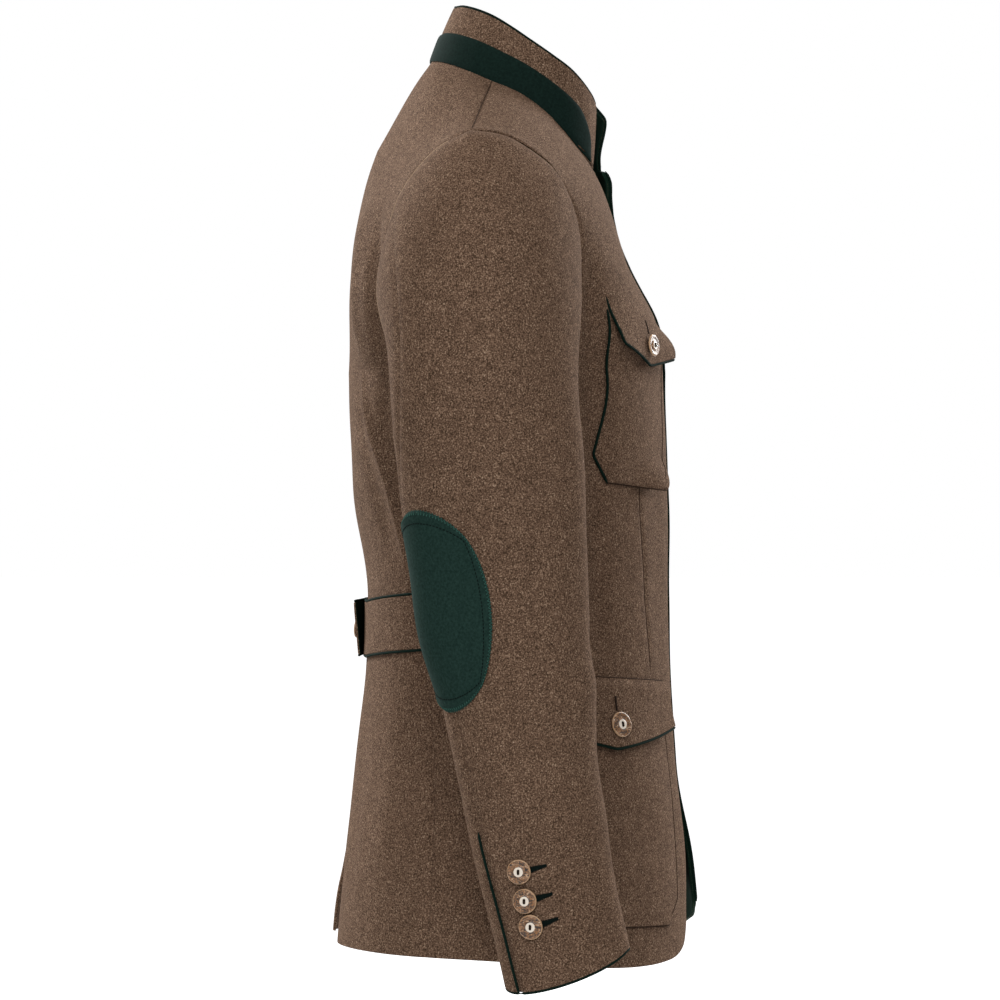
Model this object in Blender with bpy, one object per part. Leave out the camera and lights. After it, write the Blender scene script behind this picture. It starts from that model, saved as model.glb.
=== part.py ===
"""A tyrolean loden jacket, hollow, as it hangs from the shoulders of whoever wears it.

Metres, +Z up, +X to the wearer's left, -Y to the front. The origin lies on the shoulder line, level with the
points where the shoulder seams meet the collar. Each piece is a wall of cloth laid over one body surface or
one sleeve surface, and what is sewn on a panel takes its points from that surface, moved out.
"""

import math

import bpy
import numpy as np

CLOTH = 0.0018  # loden wall
LINING = 0.0010  # facing, collar lining
FELT = 0.0014  # collar band, elbow patch
PATCH = 0.0018  # pockets, flaps, belt
GAP = 0.0003  # between neighbouring pieces
LAID = 0.0008  # under a piece laid on a rounded panel, whose flats would touch any closer
SEAM = 0.5 * GAP
PIPING = 0.0011  # radius of the green cord
OVERLAP = 0.020  # each front runs this far past the centre
CHEST = -0.235  # height where the level sections end and the armholes begin
UNDERARM = 0.030  # the armhole's lowest point below that
SHOULDER = np.array((0.220, 0.0224, -0.0507))
NECK_POINT = np.array((0.073, 0.0065, 0.0008))

BROWN = (0.115, 0.077, 0.052)
GREEN = (0.012, 0.026, 0.020)
HORN = (0.300, 0.200, 0.130)


def columns(names, *rows):
    """A table as a dictionary, with one array for each named column."""
    return dict(zip(names.split(), np.array(rows, float).T))


# Level sections: the centre front, the centre back and the half width at each height.
BODY = columns(
    "z front back width",
    (-0.720, -0.1567, 0.1362, 0.2050),
    (-0.654, -0.1534, 0.1318, 0.2030),
    (-0.588, -0.1500, 0.1245, 0.1970),
    (-0.522, -0.1445, 0.1180, 0.1900),
    (-0.472, -0.1415, 0.1145, 0.1850),
    (-0.420, -0.1408, 0.1142, 0.1825),
    (-0.380, -0.1405, 0.1180, 0.1840),
    (-0.327, -0.1410, 0.1238, 0.1910),
    (-0.281, -0.1395, 0.1265, 0.1970),
    (-0.235, -0.1376, 0.1282, 0.2000),
)
SIDE = -0.004  # where each section is widest
FRONT_HANDLE = 0.55  # 0.55 makes an ellipse, more a squarer section
BACK_HANDLE = 0.66

# The centre lines above the level sections, and the collar seam, from the centre to the neck point.
CENTRE_FRONT = columns(
    "y z",
    (-0.1376, -0.2350),
    (-0.1338, -0.2080),
    (-0.1303, -0.1920),
    (-0.1170, -0.1647),
    (-0.1087, -0.1481),
    (-0.0980, -0.1232),
    (-0.0940, -0.1060),
    (-0.0922, -0.0900),
    (-0.0873, -0.0750),
    (-0.0815, -0.0672),
)
FRONT_NECK = columns(
    "x y z",
    (0.000, -0.0815, -0.0672),
    (0.014, -0.0806, -0.0664),
    (0.032, -0.0748, -0.0610),
    (0.047, -0.0650, -0.0522),
    (0.061, -0.0500, -0.0355),
    (0.069, -0.0330, -0.0203),
    (0.0735, -0.0150, -0.0085),
    (0.073, 0.0065, 0.0008),
)
CENTRE_BACK = columns(
    "y z",
    (0.1282, -0.2350),
    (0.1245, -0.1560),
    (0.1180, -0.1070),
    (0.1040, -0.0570),
    (0.0830, -0.0150),
    (0.0573, 0.0237),
)
BACK_NECK = columns(
    "x y z",
    (0.000, 0.0573, 0.0237),
    (0.022, 0.0543, 0.0228),
    (0.042, 0.0447, 0.0195),
    (0.059, 0.0310, 0.0132),
    (0.070, 0.0180, 0.0065),
    (0.073, 0.0065, 0.0008),
)
# The armhole above the level sections, from low to high.
FRONT_ARMHOLE = columns(
    "x y z",
    (0.1895, -0.0590, -0.2080),
    (0.1880, -0.0624, -0.1800),
    (0.1895, -0.0620, -0.1560),
    (0.1925, -0.0601, -0.1322),
    (0.1990, -0.0529, -0.1008),
    (0.2070, -0.0423, -0.0797),
    (0.2140, -0.0263, -0.0656),
    (0.2195, -0.0054, -0.0545),
)
BACK_ARMHOLE = columns(
    "x y z",
    (0.1910, 0.0890, -0.2080),
    (0.1940, 0.0940, -0.1789),
    (0.1960, 0.0925, -0.1556),
    (0.1990, 0.0878, -0.1332),
    (0.2040, 0.0799, -0.1078),
    (0.2100, 0.0651, -0.0848),
    (0.2175, 0.0400, -0.0600),
)
AROUND_FRONT, AROUND_BACK = 0.36, 0.62  # where the lengthwise seams lie in the hem's table
LOWER_ROWS = 11  # rows of each panel below the chest
CENTRE_ROWS, NECK_ROWS = (5, 5), (5, 4)  # rows above it, front and back: up the centre, then along the neck
FRONT_COLUMNS, BACK_COLUMNS, SIDE_COLUMNS = 12, 9, 5
# How far forward or back each lengthwise seam lies, and the hem's height around the body from front to back.
SEAMS = columns(
    "z front back",
    (-0.720, -0.0600, 0.0600),
    (-0.600, -0.0560, 0.0520),
    (-0.530, -0.0540, 0.0535),
    (-0.456, -0.0520, 0.0593),
    (-0.410, -0.0500, 0.0695),
    (-0.330, -0.0470, 0.0780),
    (-0.235, -0.0450, 0.0780),
)
HEM = columns(
    "around z",
    (0.00, -0.6830),
    (0.03, -0.6950),
    (0.07, -0.7040),
    (0.13, -0.7100),
    (0.21, -0.7122),
    (0.32, -0.7085),
    (0.46, -0.6990),
    (0.70, -0.6965),
    (0.85, -0.6985),
    (1.00, -0.7035),
)
# Sleeve sections from the upper arm to the cuff: foremost and rearmost points, middle and half width.
SLEEVE = columns(
    "front_y front_z rear_y rear_z middle width",
    (-0.0626, -0.290, 0.0810, -0.290, 0.2560, 0.0500),
    (-0.0655, -0.350, 0.0747, -0.353, 0.2535, 0.0490),
    (-0.0672, -0.390, 0.0680, -0.394, 0.2515, 0.0480),
    (-0.0695, -0.435, 0.0595, -0.439, 0.2500, 0.0465),
    (-0.0724, -0.495, 0.0452, -0.499, 0.2500, 0.0440),
    (-0.0754, -0.543, 0.0340, -0.549, 0.2520, 0.0425),
    (-0.0815, -0.590, 0.0227, -0.598, 0.2550, 0.0405),
    (-0.0907, -0.643, 0.0095, -0.657, 0.2590, 0.0385),
    (-0.0985, -0.6795, -0.0023, -0.7060, 0.2630, 0.0370),
)
# The sleeve's hind seam, as an angle from its outer side, by the share of the length from armhole to cuff.
HIND_SEAM = columns(
    "share angle",
    (0.00, 309.6),
    (0.15, 305),
    (0.25, 293),
    (0.39, 274),
    (0.52, 286),
    (0.64, 302),
    (1.00, 304),
)
CAP_SHARE = 0.28  # of the sleeve's grid, from the armhole to the first section
# The collar's top edge, from the centre back to the front end.
COLLAR_TOP = columns(
    "x y z",
    (0.000, 0.0385, 0.0690),
    (0.026, 0.0300, 0.0665),
    (0.044, 0.0165, 0.0606),
    (0.055, 0.0040, 0.0538),
    (0.060, -0.0100, 0.0447),
    (0.061, -0.0244, 0.0349),
    (0.058, -0.0433, 0.0222),
    (0.049, -0.0580, 0.0123),
    (0.036, -0.0689, 0.0021),
    (0.019, -0.0770, -0.0077),
    (0.004, -0.0800, -0.0130),
)
COLLAR_FLARE = 0.0085  # the left collar end's top stands this far forward of the right one's
COLLAR_FALL = 0.0110  # and this far below it
COLLAR_END = 0.004  # each end of the collar stands this far from the centre
NECK_FLARE = 0.0050  # the left front stands forward too, at the collar
HEM_FLARE = 0.0088  # and the left front, at the hem
SINK = 0.0037  # the right front lies this far under the left one's outer face

# Pockets: arc from the front edge and height of the middle of the flap's top, lean, and sizes. The mouth is how
# far the pocket's opening lies below the flap's top, and the fan how much steeper its top lies than its bottom.
CHEST_POCKET = dict(
    arc=0.130, z=-0.1765, lean=7, fan=0.115, width=0.120, height=0.1525, mouth=0.011, cut=0.020,
    bulge=0.0015, flap_side=0.039, flap_tip=0.053, flap_taper=0.10, flap_flare=0.0120, flap_twist=0.30, button=0.0088,
    button_up=0.0165,
)
LOWER_POCKET = dict(
    arc=0.181, z=-0.4800, lean=4, fan=0.0, width=0.184, height=0.196, mouth=0.008, cut=0.022, bulge=0.0035,
    flap_side=0.040, flap_tip=0.056, flap_taper=0.0, flap_flare=0.0050, flap_twist=0.0, button=0.0100,
    button_up=0.0185,
)
BELT_TOP, BELT_HEIGHT = -0.4195, 0.0435
BELT_END, BELT_POINT = 0.042, 0.011  # how far the left strap runs past the centre back, and its pointed end
CUFF_BUTTONS = columns("share angle", (0.8635, 336), (0.8985, 336), (0.9290, 337))
CUFF_BUTTON = 0.0090  # radius
CUFF_DROP = 0.0090  # the cuff's outer side hangs this far below the line from its front to its rear
ELBOW = dict(share=0.5188, angle=301, high=0.0760, wide=0.0500)
BAND_SHARE = 0.50  # of the collar's height, covered by the felt band


def smooth(at, stations, values):
    """A cubic through the table's rows, level beyond both ends."""
    slopes = np.gradient(values, stations, axis=0)
    at = np.clip(at, stations[0], stations[-1])
    i = np.clip(np.searchsorted(stations, at) - 1, 0, len(stations) - 2)
    span = stations[i + 1] - stations[i]
    t = (at - stations[i]) / span
    if values.ndim > 1:
        t, span = np.expand_dims(t, -1), np.expand_dims(span, -1)
    return (
        (1 + 2 * t) * (1 - t) ** 2 * values[i]
        + t * (1 - t) ** 2 * span * slopes[i]
        + t * t * (3 - 2 * t) * values[i + 1]
        + t * t * (t - 1) * span * slopes[i + 1]
    )


def ease(x):
    """0 below 0, 1 above 1, and smooth between."""
    x = np.clip(x, 0, 1)
    return x * x * (3 - 2 * x)


def unit(v):
    return v / np.linalg.norm(v, axis=-1, keepdims=True)


def path(points):
    """A curve through points, as a function of the share of its length."""
    points = np.array(points)
    lengths = np.linalg.norm(np.diff(points, axis=0), axis=1)
    stations = np.concatenate([[0], np.cumsum(lengths)]) / lengths.sum()
    return lambda share: smooth(np.asarray(share, float), stations, points)


def bezier(p, t):
    t = np.asarray(t, float)[..., None]
    return (1 - t) ** 3 * p[0] + 3 * t * (1 - t) ** 2 * p[1] + 3 * t * t * (1 - t) * p[2] + t**3 * p[3]


def first_part(p, t):
    """The handles of a Bezier curve's stretch from 0 to t."""
    a, b, c = p[0] + t * (p[1] - p[0]), p[1] + t * (p[2] - p[1]), p[2] + t * (p[3] - p[2])
    d, e = a + t * (b - a), b + t * (c - b)
    return np.array([p[0], a, d, d + t * (e - d)])


def section(z):
    """The level section at z, as two Bezier curves: centre front to side, and centre back to side."""
    front, back, width = (float(smooth(z, BODY["z"], BODY[c])) for c in ("front", "back", "width"))
    side = np.array((width, SIDE, z))
    curves = []
    for centre, f in ((front, FRONT_HANDLE), (back, BACK_HANDLE)):
        curves.append(
            np.array([(0, centre, z), (f * width, centre, z), (width, SIDE + (centre - SIDE) * f, z), side])
        )
    return curves


def share_at_y(curve, y):
    """Where a section's curve reaches this far forward or back."""
    t = np.linspace(0, 1, 201)
    ys = bezier(curve, t)[:, 1]
    order = np.argsort(ys)
    return float(np.interp(y, ys[order], t[order]))


def seam_row(z, which):
    """The handles of a row from the centre to the front or back seam at z."""
    curve = section(z)[which]
    y = float(smooth(z, SEAMS["z"], SEAMS[("front", "back")[which]]))
    return first_part(curve, share_at_y(curve, y))


def points_of(table):
    return np.stack([table["x"], table["y"], table["z"]], axis=1)


FRONT_LOW, BACK_LOW = seam_row(CHEST, 0), seam_row(CHEST, 1)
ARMHOLES = [
    path(np.vstack([FRONT_LOW[3], points_of(FRONT_ARMHOLE), SHOULDER])),
    path(np.vstack([BACK_LOW[3], points_of(BACK_ARMHOLE), SHOULDER])),
]
CENTRES = [
    path([(0, y, z) for y, z in zip(CENTRE_FRONT["y"], CENTRE_FRONT["z"])]),
    path([(0, y, z) for y, z in zip(CENTRE_BACK["y"], CENTRE_BACK["z"])]),
]
NECKS = [path(points_of(FRONT_NECK)), path(points_of(BACK_NECK))]
CORNER = 0.60, 0.72  # share of the rows above the chest that start on the centre line, front and back


def edge(share, which):
    """Where a row above the chest starts: up the centre line, then along the collar seam."""
    corner = CORNER[which]
    if share <= corner:
        return CENTRES[which](share / corner)
    return NECKS[which]((share - corner) / (1 - corner))


def upper_shares(which):
    """Shares of the rows above the chest, with one of them at the corner where the collar seam begins."""
    corner = CORNER[which]
    up = np.linspace(0, corner, CENTRE_ROWS[which] + 1)
    return np.concatenate([up, np.linspace(corner, 1, NECK_ROWS[which] + 1)[1:]])


def upper_row(share, which):
    """The handles of a row above the chest, from the centre line or the collar seam to the armhole."""
    start, end = edge(share, which), ARMHOLES[which](share)
    low = (FRONT_LOW, BACK_LOW)[which]
    straight = (end - start) / 3
    blend = ease(share) ** 0.8
    free = ease((share - CORNER[which]) / 0.15)
    first = ((1 - blend) * (low[1] - low[0]) + blend * straight) * (1, free, free)
    last = (1 - blend) * (low[3] - low[2]) + blend * straight
    return np.array([start, start + first, end - last, end])


def arc_share(row, arc):
    """Bezier parameters at these arc lengths along a row, and a little way on past its end."""
    t = np.linspace(0, 1.3, 79)
    steps = np.linalg.norm(np.diff(bezier(row, t), axis=0), axis=1)
    return np.interp(arc, np.concatenate([[0], np.cumsum(steps)]), t)


def row_points(row, t):
    """Points of a row, which runs on past the centre as its own mirror image."""
    t = np.asarray(t, float)
    points = bezier(row, abs(t))
    points[..., 0] *= np.where(t < 0, -1, 1)
    return points


def row_at(height, which):
    """The row whose centre lies at this height: level below the chest, and reaching to the side seam's line."""
    if height <= CHEST:
        return section(height)[which]
    shares = np.linspace(0, CORNER[which], 121)
    heights = CENTRES[which](shares / CORNER[which])[:, 2]
    return upper_row(float(np.interp(height, heights, shares)), which)


def front_shift(arc, z, left):
    """How far a front lies out of the common surface: the right one sinks under the left at the edge, and the
    left one flares forward below the last button and at the collar."""
    if not left:
        return -SINK * (1 - ease((arc - 0.050) / 0.040))
    low = HEM_FLARE * ease((-0.545 - z) / 0.120) * (1 - ease(arc / 0.130))
    high = NECK_FLARE * ease((z + 0.095) / 0.030) * (1 - ease(arc / 0.060))
    return low + high


def back_shift(arc, z, left):
    """At the vent the left back lies over the right one."""
    if not left:
        return 0 * arc
    return 0.0052 * ease((-0.575 - z) / 0.110) * (1 - ease(arc / 0.060))


def on_front(arc, height, left, out=0.0):
    """A point of a front, by arc length from its front edge and height, moved out of the cloth."""
    def place(a, h):
        row = row_at(h, 0)
        p = row_points(row, np.sign(a - OVERLAP) * arc_share(row, abs(a - OVERLAP)))
        return p + np.array((0, -float(front_shift(a, p[2], left)), 0))

    step = 0.001
    p = place(arc, height)
    across, up = place(arc + step, height) - place(arc - step, height), place(arc, height + step) - place(arc, height - step)
    return p + out * unit(np.cross(across, up))


def on_back(arc, height, left, out=0.0):
    """A point of the back, by arc length from the centre back and height, moved out of the cloth."""
    curve = section(height)[1]
    p = bezier(curve, arc_share(curve, abs(arc)))
    q = bezier(curve, arc_share(curve, abs(arc) + 0.001))
    n = unit(np.cross((0, 0, 1.0), q - p))
    p, n = (p, n) if arc >= 0 else (p * (-1, 1, 1), n * (-1, 1, 1))
    return p + out * n


def grid_normals(grid, outward):
    n = np.cross(np.gradient(grid, axis=0), np.gradient(grid, axis=1))
    n = unit(n)
    return n if np.sum(n * (grid - outward)) > 0 else -n


def inset(grid, first=0.0, last=0.0, low=0.0, high=0.0):
    """Draws the edges of a grid in along its own rows and columns, which leaves the gap at a seam."""
    grid = grid.copy()
    grid[:, 0] += first * unit(grid[:, 1] - grid[:, 0])
    grid[:, -1] += last * unit(grid[:, -2] - grid[:, -1])
    grid[0] += low * unit(grid[1] - grid[0])
    grid[-1] += high * unit(grid[-2] - grid[-1])
    return grid


def row_height(around, share, dip=0.0):
    """Height of a point of the rows between the hem and the chest."""
    hem = float(smooth(around, HEM["around"], HEM["z"]))
    return hem + share * (CHEST - dip - hem)


def seam_share(z, which):
    """Where the front or back seam crosses the section at z."""
    return share_at_y(section(z)[which], float(smooth(z, SEAMS["z"], SEAMS[("front", "back")[which]])))


def with_margin(rows):
    """Adds a column past the last, in line with the two before it."""
    return np.concatenate([rows, 2 * rows[:, -1:] - rows[:, -2:-1]], axis=1)


def half_panel(which, left, wide):
    """A front or back panel as rows from the hem to the shoulder seam, each from its free edge or the centre to
    the seam or armhole, with its normals."""
    steps = np.linspace(0, 1, wide + 1)
    beyond = np.append(steps, 1 + steps[1])
    lower = []
    for r in np.linspace(0, 1, LOWER_ROWS + 1):
        row = []
        for c in beyond:
            z = row_height(AROUND_FRONT * c if which == 0 else 1 - (1 - AROUND_BACK) * c, r)
            curve = section(z)[which]
            first = -arc_share(curve, OVERLAP) if which == 0 else 0
            row.append(row_points(curve, first + (seam_share(z, which) - first) * c))
        lower.append(row)
    upper = []
    for v in upper_shares(which)[1:]:
        row = upper_row(v, which)
        first = -arc_share(row, OVERLAP) if which == 0 and v <= CORNER[0] else 0
        upper.append(row_points(row, first + (1 - first) * steps))
    grid = np.concatenate([np.array(lower), with_margin(np.array(upper))])
    arc = np.cumsum(np.linalg.norm(np.diff(grid, axis=1), axis=2), axis=1)
    start = grid[:, :1, 0] - grid[0, 0, 0]
    arc = np.concatenate([start, start + arc], axis=1)
    shift = (front_shift, back_shift)[which](arc, grid[..., 2], left)
    grid[..., 1] += shift * (-1, 1)[which]
    if which == 1 and left:
        grid = lap_vent(grid, shift)
    n = grid_normals(grid, np.array((0, 0, -0.4)))[:, :-1]
    grid = grid[:, :-1]
    if which == 1:
        n[grid[:, 0, 0] < 0.001, 0, 0] = 0
    seam = SHOULDER - NECK_POINT
    up = np.array((0, 0, 1.0))
    n[-1] = unit(up - seam * (up @ seam) / (seam @ seam))
    return grid, unit(n)


def lap_vent(grid, shift):
    """The left back's vent edge, carried over the right one where it stands clear of it, and lifted."""
    reach = 0.012 * ease((shift[:, 0] - 0.0030) / 0.0016)
    grid[:, 0, 0] -= reach
    grid[..., 2] += 1.6 * shift
    return grid


def wall(grid, normals, thickness):
    return grid, grid - thickness * normals


def slab(name, outer, inner, material, side=1):
    """A closed solid between two grids of points, on the left (side 1) or mirrored to the right (side -1)."""
    rows, across = outer.shape[:2]
    points = np.concatenate([outer.reshape(-1, 3), inner.reshape(-1, 3)]) * (side, 1, 1)
    at = np.arange(rows * across).reshape(rows, across)
    under = at + rows * across
    faces = []
    for i in range(rows - 1):
        for j in range(across - 1):
            faces.append((at[i, j], at[i + 1, j], at[i + 1, j + 1], at[i, j + 1]))
            faces.append((under[i, j], under[i, j + 1], under[i + 1, j + 1], under[i + 1, j]))
    rim = [(i, 0) for i in range(rows)] + [(rows - 1, j) for j in range(1, across)]
    rim += [(i, across - 1) for i in range(rows - 2, -1, -1)] + [(0, j) for j in range(across - 2, 0, -1)]
    for a, b in zip(rim, rim[1:] + rim[:1]):
        faces.append((at[b], at[a], under[a], under[b]))
    return shape(name, points, faces, material)


def shape(name, points, faces, material):
    """An object from points and faces, all turned to face out."""
    volume = sum(
        np.dot(points[f[0]], np.cross(points[f[k]], points[f[k + 1]])) for f in faces for k in range(1, len(f) - 1)
    )
    if volume < 0:
        faces = [tuple(reversed(f)) for f in faces]
    mesh = bpy.data.meshes.new(name)
    mesh.from_pydata([tuple(map(float, p)) for p in points], [], [tuple(map(int, f)) for f in faces])
    mesh.shade_smooth()
    mesh.set_sharp_from_angle(angle=math.radians(40))
    mesh.materials.append(material)
    thing = bpy.data.objects.new(name, mesh)
    bpy.context.scene.collection.objects.link(thing)
    return thing


def cord(name, route, radius, material, side=1, sides=5):
    """A thin round cord along a list of points, with flat ends."""
    route = np.array(route) * (side, 1, 1)
    along = unit(np.gradient(route, axis=0))
    normal = unit(np.cross(along[0], (0.31, 0.52, 0.79)))
    points = []
    for p, t in zip(route, along):
        normal = unit(normal - t * (normal @ t))
        binormal = np.cross(t, normal)
        for k in range(sides):
            turn = 2 * math.pi * k / sides
            points.append(p + radius * (math.cos(turn) * normal + math.sin(turn) * binormal))
    faces = []
    for i in range(len(route) - 1):
        for k in range(sides):
            m = (k + 1) % sides
            faces.append((i * sides + k, i * sides + m, (i + 1) * sides + m, (i + 1) * sides + k))
    last = (len(route) - 1) * sides
    faces += [tuple(reversed(range(sides))), tuple(range(last, last + sides))]
    return shape(name, np.array(points), faces, material)


def finish(name, colour, roughness):
    material = bpy.data.materials.new(name)
    material.use_nodes = True
    node = material.node_tree.nodes["Principled BSDF"]
    node.inputs["Base Color"].default_value = (*colour, 1)
    node.inputs["Roughness"].default_value = roughness
    return material


# Sleeve surface


def armhole(angle):
    """The armhole, by an angle from its top through the front, the underarm and the back."""
    turn = angle % 360 / 360
    front = 0.35
    if turn <= front:
        return ARMHOLES[0](1 - turn / front)
    if turn >= 1 - front:
        return ARMHOLES[1](1 - (1 - turn) / front)
    return underarm((turn - front) / (1 - 2 * front))


def side_point(share, z):
    """A point of the side panel, by its share from the front to the back seam."""
    first, last = seam_share(z, 0), 2 - seam_share(z, 1)
    t = first + (last - first) * share
    forward, rearward = section(z)
    return bezier(forward, t) if t <= 1 else bezier(rearward, 2 - t)


def dip(share):
    """How far the underarm lies below the chest line, across the side panel."""
    return UNDERARM * max(math.sin(math.pi * share), 0) ** 1.3


def underarm(share):
    return side_point(share, CHEST - dip(share))


def sleeve_section(share):
    """Centre, half width and forward half axis of the sleeve's section, by its height from upper arm to cuff."""
    heights = SLEEVE["front_z"] + SLEEVE["rear_z"]
    stations = (heights[0] - heights) / (heights[0] - heights[-1])
    get = {c: float(smooth(share, stations, SLEEVE[c])) for c in SLEEVE}
    front = np.array((get["middle"], get["front_y"], get["front_z"]))
    rear = np.array((get["middle"], get["rear_y"], get["rear_z"]))
    return (front + rear) / 2, get["width"], (front - rear) / 2


def sleeve_ring(share, angle):
    centre, width, forward = sleeve_section(share)
    turn = math.radians(angle)
    drop = CUFF_DROP * max(math.cos(turn), 0) * float(ease((share - 0.78) / 0.22))
    return centre + np.array((width * math.cos(turn), 0, -drop)) + forward * math.sin(turn)


def sleeve(share, angle):
    """A point of the sleeve: share 0 at the armhole, 1 at the cuff; angle 0 outside, 90 in front."""
    if share >= CAP_SHARE:
        return sleeve_ring((share - CAP_SHARE) / (1 - CAP_SHARE), angle)
    turn = math.radians(angle)
    start, end = armhole(angle), sleeve_ring(0, angle)
    below = end - sleeve_ring(0.02, angle)
    reach = np.linalg.norm(end - start)
    top, low = max(math.cos(turn), 0) ** 2, max(-math.cos(turn), 0) ** 2
    leave = unit(np.array((0.95 - 0.35 * low, -0.14 * math.sin(turn), -0.15 - 0.22 * top - 0.6 * low)))
    start = start + 2 * GAP * leave
    curve = np.array([start, start + 0.36 * reach * leave, end + 0.40 * reach * unit(below), end])
    return bezier(curve, share / CAP_SHARE)


def on_sleeve(share, angle, out=0.0):
    p = sleeve(share, angle)
    down = sleeve(share + 0.004, angle) - sleeve(share - 0.004, angle)
    round_ = sleeve(share, angle + 1.5) - sleeve(share, angle - 1.5)
    n = unit(np.cross(round_, down))
    centre = sleeve_section(max(share - CAP_SHARE, 0) / (1 - CAP_SHARE))[0]
    return p + out * (n if n @ (p - centre) > 0 else -n)


def armhole_angles():
    """Angles at which the panels' own rows and columns meet the armhole, so that the sleeve meets them there."""
    front = [126 * (1 - v) for v in upper_shares(0)][::-1]
    back = [360 - 126 * (1 - v) for v in upper_shares(1)]
    under = [126 + 108 * k / SIDE_COLUMNS for k in range(1, SIDE_COLUMNS)]
    return np.array(front + under + back)


def sleeve_part(first, last, shares):
    """A wall between two of the angles that the armhole's points give, following the hind seam below."""
    angles = armhole_angles()
    if first > last:
        angles = np.where(angles > 180, angles - 360, angles)
        first -= 360
    angles = np.unique(np.round(angles, 6))
    angles = angles[(angles > first - 1e-3) & (angles < last + 1e-3)]
    parts = (angles - angles[0]) / (angles[-1] - angles[0])
    outer, inner = [], []
    for share in shares:
        a, b = (hind(share) - 360, angles[-1]) if first < 0 else (angles[0], hind(share))
        spread = inset_angles(a + (b - a) * parts, share)
        outer.append([on_sleeve(share, angle) for angle in spread])
        inner.append([on_sleeve(share, angle, -CLOTH) for angle in spread])
    return np.array(outer), np.array(inner)


def inset_angles(angles, share):
    """Draws a part's two seams in by the seam gap."""
    _, width, forward = sleeve_section(max(share - CAP_SHARE, 0) / (1 - CAP_SHARE))
    turn = math.degrees(SEAM / min(width, np.linalg.norm(forward)))
    return np.concatenate([[angles[0] + turn], angles[1:-1], [angles[-1] - turn]])


def hind(share):
    return float(smooth(share, HIND_SEAM["share"], HIND_SEAM["angle"]))


# Pieces


def body(side, brown):
    left = side > 0
    word = "left" if left else "right"
    grid, n = half_panel(0, left, FRONT_COLUMNS)
    slab(f"front_{word}", *wall(inset(grid, last=SEAM, high=SEAM), n, CLOTH), brown, side)
    grid, n = half_panel(1, left, BACK_COLUMNS)
    slab(f"back_{word}", *wall(inset(grid, first=SEAM, last=SEAM, high=SEAM), n, CLOTH), brown, side)
    rows = []
    for r in np.linspace(0, 1, LOWER_ROWS + 1):
        row = []
        for s in np.linspace(-1 / SIDE_COLUMNS, 1 + 1 / SIDE_COLUMNS, SIDE_COLUMNS + 3):
            around = AROUND_FRONT + (AROUND_BACK - AROUND_FRONT) * s
            row.append(side_point(s, row_height(around, r, dip(s))))
        rows.append(row)
    grid = np.array(rows)
    n = grid_normals(grid, np.array((0, 0, -0.4)))[:, 1:-1]
    slab(f"side_{word}", *wall(inset(grid[:, 1:-1], first=SEAM, last=SEAM), n, CLOTH), brown, side)


def sleeves(side, brown):
    word = "left" if side > 0 else "right"
    shares = np.concatenate([np.linspace(0, CAP_SHARE, 6), np.linspace(CAP_SHARE, 1, 9)[1:]])
    hind_angle, front_angle = HIND_SEAM["angle"][0], 126 * (1 - upper_shares(0)[1])
    slab(f"sleeve_{word}_upper", *sleeve_part(hind_angle, front_angle, shares), brown, side)
    slab(f"sleeve_{word}_under", *sleeve_part(front_angle, hind_angle, shares), brown, side)


def facing(green):
    """The left front's inner strip along its edge, from the hem to the collar seam."""
    grid, n = half_panel(0, True, FRONT_COLUMNS)
    top = LOWER_ROWS + CENTRE_ROWS[0]
    grid, n = grid[: top + 1, :4], n[: top + 1, :4]
    grid = inset(grid, low=GAP, high=GAP)
    slab("facing_left", *wall(grid - (CLOTH + GAP) * n, n, LINING), green)


def collar_seam(left):
    """The collar seam's points from the centre back to the front edge, where the panels' own rows start."""
    back = [NECKS[1](k / NECK_ROWS[1]) for k in range(NECK_ROWS[1] + 1)]
    front = [NECKS[0](k / NECK_ROWS[0]) for k in range(NECK_ROWS[0] - 1, 0, -1)]
    corner = upper_row(CORNER[0], 0)
    front.append(row_points(corner, -arc_share(corner, OVERLAP)))
    for p in front:
        p[1] -= float(front_shift(p[0] + OVERLAP, p[2], left))
    along = (front[-2][0] - COLLAR_END) / (front[-2][0] - front[-1][0])
    front[-1] = front[-2] + along * (front[-1] - front[-2])
    return np.array(back + front)


def collar_stations():
    """Shares of the collar's length, from the centre back, at the seam's points."""
    steps = np.linalg.norm(np.diff(collar_seam(True), axis=0), axis=1)
    return np.concatenate([[0], np.cumsum(steps)]) / steps.sum()


def collar_point(s, up):
    """A point of the collar's outer face: s -1 at the right front end, 0 behind, 1 at the left end."""
    left = s > 0
    seam, stations = collar_seam(left), collar_stations()
    base = np.array([np.interp(abs(s), stations, seam[:, k]) for k in range(3)])
    top = path(points_of(COLLAR_TOP))(abs(s))
    p = base + up * (top - base)
    outward = unit(np.array((top[0] + base[0], top[1] + base[1] + 0.022, 0)))
    p = p + 4 * 0.0016 * up * (1 - up) * outward
    flare = up * float(ease((abs(s) - 0.80) / 0.20))
    if left:
        p = p - np.array((0, COLLAR_FLARE * flare, COLLAR_FALL * flare))
    return p * (1 if left else -1, 1, 1)


def collar_grid(ss, lows, highs, rows):
    """Points of the collar between two heights given at each s, with normals."""
    grid = np.array(
        [[collar_point(s, lo + (hi - lo) * r) for s, lo, hi in zip(ss, lows, highs)] for r in np.linspace(0, 1, rows)]
    )
    return grid, grid_normals(grid, np.array((0, -0.01, 0.0)))


def band_height(s):
    """The felt band's top, as a share of the collar's height: level, then rounded down near each end."""
    near_end = np.clip((abs(s) - 0.80) / 0.155, 0, 1)
    return 0.06 + (BAND_SHARE - 0.06 + 0.06 * abs(s)) * math.sqrt(max(1 - near_end**2.4, 0.0))


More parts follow.
